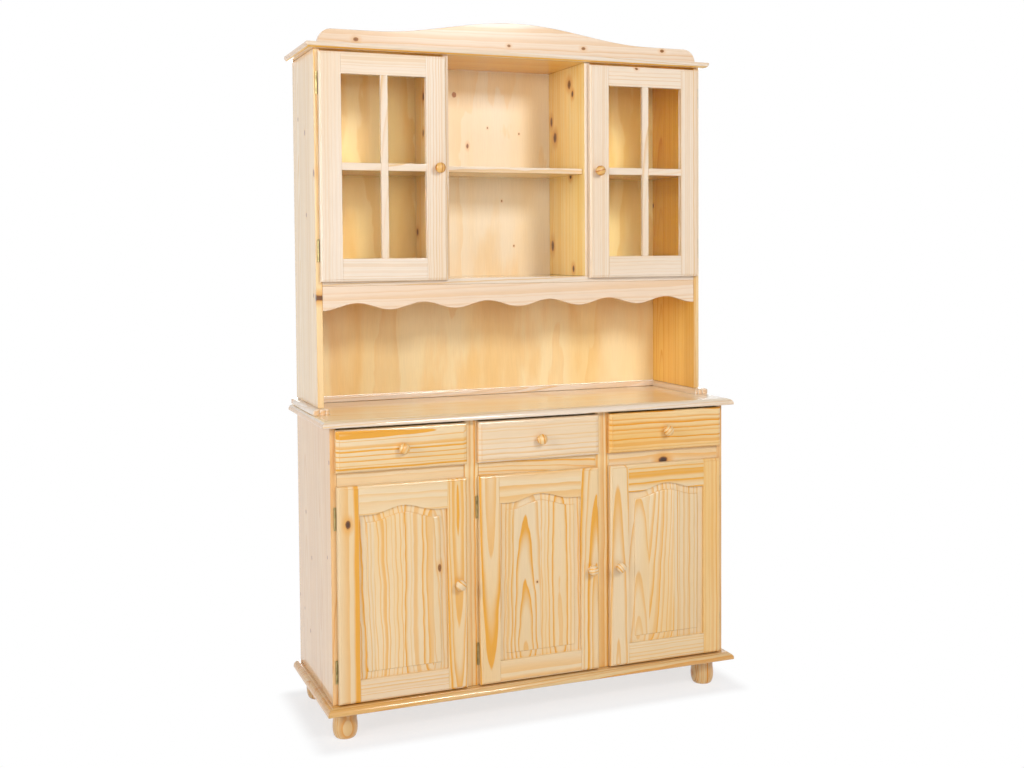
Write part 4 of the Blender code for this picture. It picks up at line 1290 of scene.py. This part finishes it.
def add_drawer(body):
    """A drawer: a moulded front, a box of four sides and a floor, and a knob."""
    low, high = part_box(body + "_front")
    front = moulded_front(low, high, DRAWER_EDGE, DRAWER_EDGE, DRAWER_EDGE, DRAWER_EDGE)
    add_timber(body + "_front_wood", front, Timber(WARM), "xzy", [body + "_front"], body)
    node = body + "_box"
    low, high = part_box(node)
    inner_x = (low.x + DRAWER_WALL, high.x - DRAWER_WALL)
    inner_y = (low.y + DRAWER_WALL, high.y - DRAWER_WALL)
    depth, height = (low.y, high.y), (low.z, high.z)
    walls = {
        "left": ((low.x, inner_x[0]), depth, height, "yzx"),
        "right": ((inner_x[1], high.x), depth, height, "yzx"),
        "front": (inner_x, (low.y, inner_y[0]), height, "xzy"),
        "back": (inner_x, (inner_y[1], high.y), height, "xzy"),
        "floor": (inner_x, inner_y, (low.z, low.z + DRAWER_FLOOR), "xyz"),
    }
    for place, (*spans, layout) in walls.items():
        wall = eased_box(*corners(*spans), THIN_EASE)
        # The drawer's box takes a shaded copy of the pine, painted shade
        add_timber(node + "_" + place, wall, Timber(SHADED_AMBER), layout, [node], body)
    add_knob(body)


def barrel_profile(length):
    """A hinge's barrel of knuckles with rounded ends, from its top down."""
    radius = HINGE_RADIUS
    tip, groove = radius * BARREL_TIP, radius * KNUCKLE_GROOVE
    half = KNUCKLE_GAP / 2
    profile = [(0.0, length), (tip, length), (radius, length - BARREL_ROUND)]
    for i in range(1, KNUCKLES):
        upper = length * (1 - i / KNUCKLES) + half
        lower = length * (1 - i / KNUCKLES) - half
        profile += [(radius, upper), (groove, upper), (groove, lower), (radius, lower)]
    return profile + [(radius, BARREL_ROUND), (tip, 0.0), (0.0, 0.0)]


def add_hinge(node, body, brass):
    """A hinge: a knuckled barrel, the leaf on the carcass, and the screwed leaf let into the door."""
    low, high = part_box(node)
    left_hung = low.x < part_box(body + "_frame")[0].x
    axis_x = low.x + HINGE_RADIUS if left_hung else high.x - HINGE_RADIUS
    axis_y = low.y + HINGE_RADIUS
    height = (low.z, high.z)
    fold = high.x if left_hung else low.x
    leaf_side = fold - LEAF_THICKNESS if left_hung else fold + LEAF_THICKNESS
    carcass_front = axis_y + HINGE_RADIUS
    strap_front = carcass_front - LEAF_THICKNESS
    barrel = turned(barrel_profile(high.z - low.z), (axis_x, axis_y, low.z))
    strap_ends = corners(sorted((axis_x, fold)), (strap_front, carcass_front), height)
    leaf_ends = corners(sorted((fold, leaf_side)), (strap_front, high.y), height)
    add_piece(node + "_barrel", barrel, brass, "cabinet", [node])
    add_piece(node + "_strap", eased_box(*strap_ends, LEAF_EASE), brass, "cabinet", [node])
    add_piece(node + "_leaf", eased_box(*leaf_ends, LEAF_EASE), brass, "cabinet", [node])
    add_door_leaf(node, body, brass, left_hung)


def add_door_leaf(node, body, brass, left_hung):
    """The hinge's second leaf, let into the back of the door, with its screws."""
    low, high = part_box(node)
    frame_low, frame_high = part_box(body + "_frame")
    start = frame_low.x + LEAF_MARGIN if left_hung else frame_high.x - LEAF_MARGIN - DOOR_LEAF_WIDTH
    depth = (frame_high.y - LEAF_THICKNESS, frame_high.y + LEAF_PROUD)
    plate_low, plate_high = corners((start, start + DOOR_LEAF_WIDTH), depth, (low.z, high.z))
    plate = eased_box(plate_low, plate_high, LEAF_EASE)
    screw_x = start + DOOR_LEAF_WIDTH * SCREW_PLACE
    for i in range(SCREWS):
        height = between(low.z, high.z, (i + 0.5) / SCREWS)
        screw = turned(SCREW_HEAD, (screw_x, plate_high.y, height), forward=True)
        screw_mesh = bpy.data.meshes.new("screw")
        screw.to_mesh(screw_mesh)
        screw.free()
        plate.from_mesh(screw_mesh)
        bpy.data.meshes.remove(screw_mesh)
    add_piece(node + "_door_leaf", plate, brass, body, [])


def shown_ray(tree):
    """1 for rays that show the background: from the camera, off a gloss or through glass."""
    path = new_node(tree, "LightPath")
    camera, glossy, transmission = [
        Signal(path.outputs[name]) for name in ("Is Camera Ray", "Is Glossy Ray", "Is Transmission Ray")
    ]
    return camera.apply("MAXIMUM", glossy).apply("MAXIMUM", transmission)


def add_floor():
    """A wide white floor that keeps a soft shadow and is plain white further out."""
    mesh = bpy.data.meshes.new("floor")
    signs = ((-1, -1), (1, -1), (1, 1), (-1, 1))
    mesh.from_pydata([(x * FLOOR_HALF, y * FLOOR_HALF, 0.0) for x, y in signs], [], [(0, 1, 2, 3)])
    floor = bpy.data.objects.new("floor", mesh)
    bpy.context.scene.collection.objects.link(floor)
    material, tree, shader = new_material("floor")
    set_inputs(shader, {"Base Color": FLOOR_COLOUR, "Roughness": FLOOR_ROUGHNESS, "Specular IOR Level": 0.0})
    low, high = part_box("plinth_board")
    sideways, backward, _ = split(reading(tree, "TexCoord", "Object"))
    squares = 0.0
    for place, start, end in ((sideways, low.x, high.x), (backward, low.y, high.y)):
        from_middle = (place - (start + end) / 2).apply("ABSOLUTE")
        outside = (from_middle - (end - start) / 2).apply("MAXIMUM", 0.0)
        squares = outside * outside + squares
    plain = step_between(squares.apply("SQRT"), 0.0, SHADOW_REACH, FLOOR_WHITE, 1.0)
    show_either(tree, plain * shown_ray(tree), shader, new_node(tree, "Emission"))
    mesh.materials.append(material)


def add_light(name, place, size, power):
    """A softbox aimed at the cabinet."""
    data = bpy.data.lights.new(name, "AREA")
    data.shape = "RECTANGLE"
    data.size, data.size_y = size
    data.energy = power
    lamp = bpy.data.objects.new(name, data)
    lamp.location = place
    lamp.rotation_euler = (Vector(AIM) - Vector(place)).to_track_quat("-Z", "Y").to_euler()
    bpy.context.scene.collection.objects.link(lamp)


def add_sky():
    """A studio that is lit more from overhead, and looks plain white."""
    world = bpy.data.worlds.new("studio")
    world.use_nodes = True
    bpy.context.scene.world = world
    tree = world.node_tree
    _, _, height = split(reading(tree, "TexCoord", "Generated"))
    sky = height.apply("MAXIMUM", 0.0) * SKY_OVERHEAD + SKY_LEVEL
    shown = shown_ray(tree)
    strength = sky * (1.0 - shown) + shown
    set_inputs(tree.nodes["Background"], {"Color": (1.0, 1.0, 1.0, 1.0), "Strength": strength})


def add_stage():
    """White studio: sky, floor, lamps and camera."""
    scene = bpy.context.scene
    scene.view_settings.view_transform = "Standard"
    add_sky()
    add_floor()
    for name, (place, size, power) in LAMPS.items():
        add_light(name, place, size, power)
    data = bpy.data.cameras.new("camera")
    data.sensor_width = SENSOR_WIDTH
    data.lens = FOCAL_PIXELS / FRAME_WIDTH * SENSOR_WIDTH
    data.shift_y = CAMERA_SHIFT
    camera = bpy.data.objects.new("camera", data)
    camera.location = CAMERA_PLACE
    turn = Matrix.Rotation(math.radians(-CAMERA_YAW), 4, "Z")
    tilt = Matrix.Rotation(math.radians(90 + CAMERA_PITCH), 4, "X")
    roll = Matrix.Rotation(math.radians(CAMERA_ROLL), 4, "Z")
    camera.rotation_euler = (turn @ tilt @ roll).to_euler()
    scene.collection.objects.link(camera)
    scene.camera = camera


glass = glass_material()
brass = brass_material()
add_stage()
add_base()
add_hutch()
for bay in BAYS:
    add_base_door("base_door_" + bay)
    add_drawer("drawer_" + bay)
for side in SIDES:
    add_glass_door("glass_door_" + side, glass)
doors = ["base_door_" + bay for bay in BAYS] + ["glass_door_" + side for side in SIDES]
for door in doors:
    for place in ("upper", "lower"):
        add_hinge(door + "_hinge_" + place, door, brass)
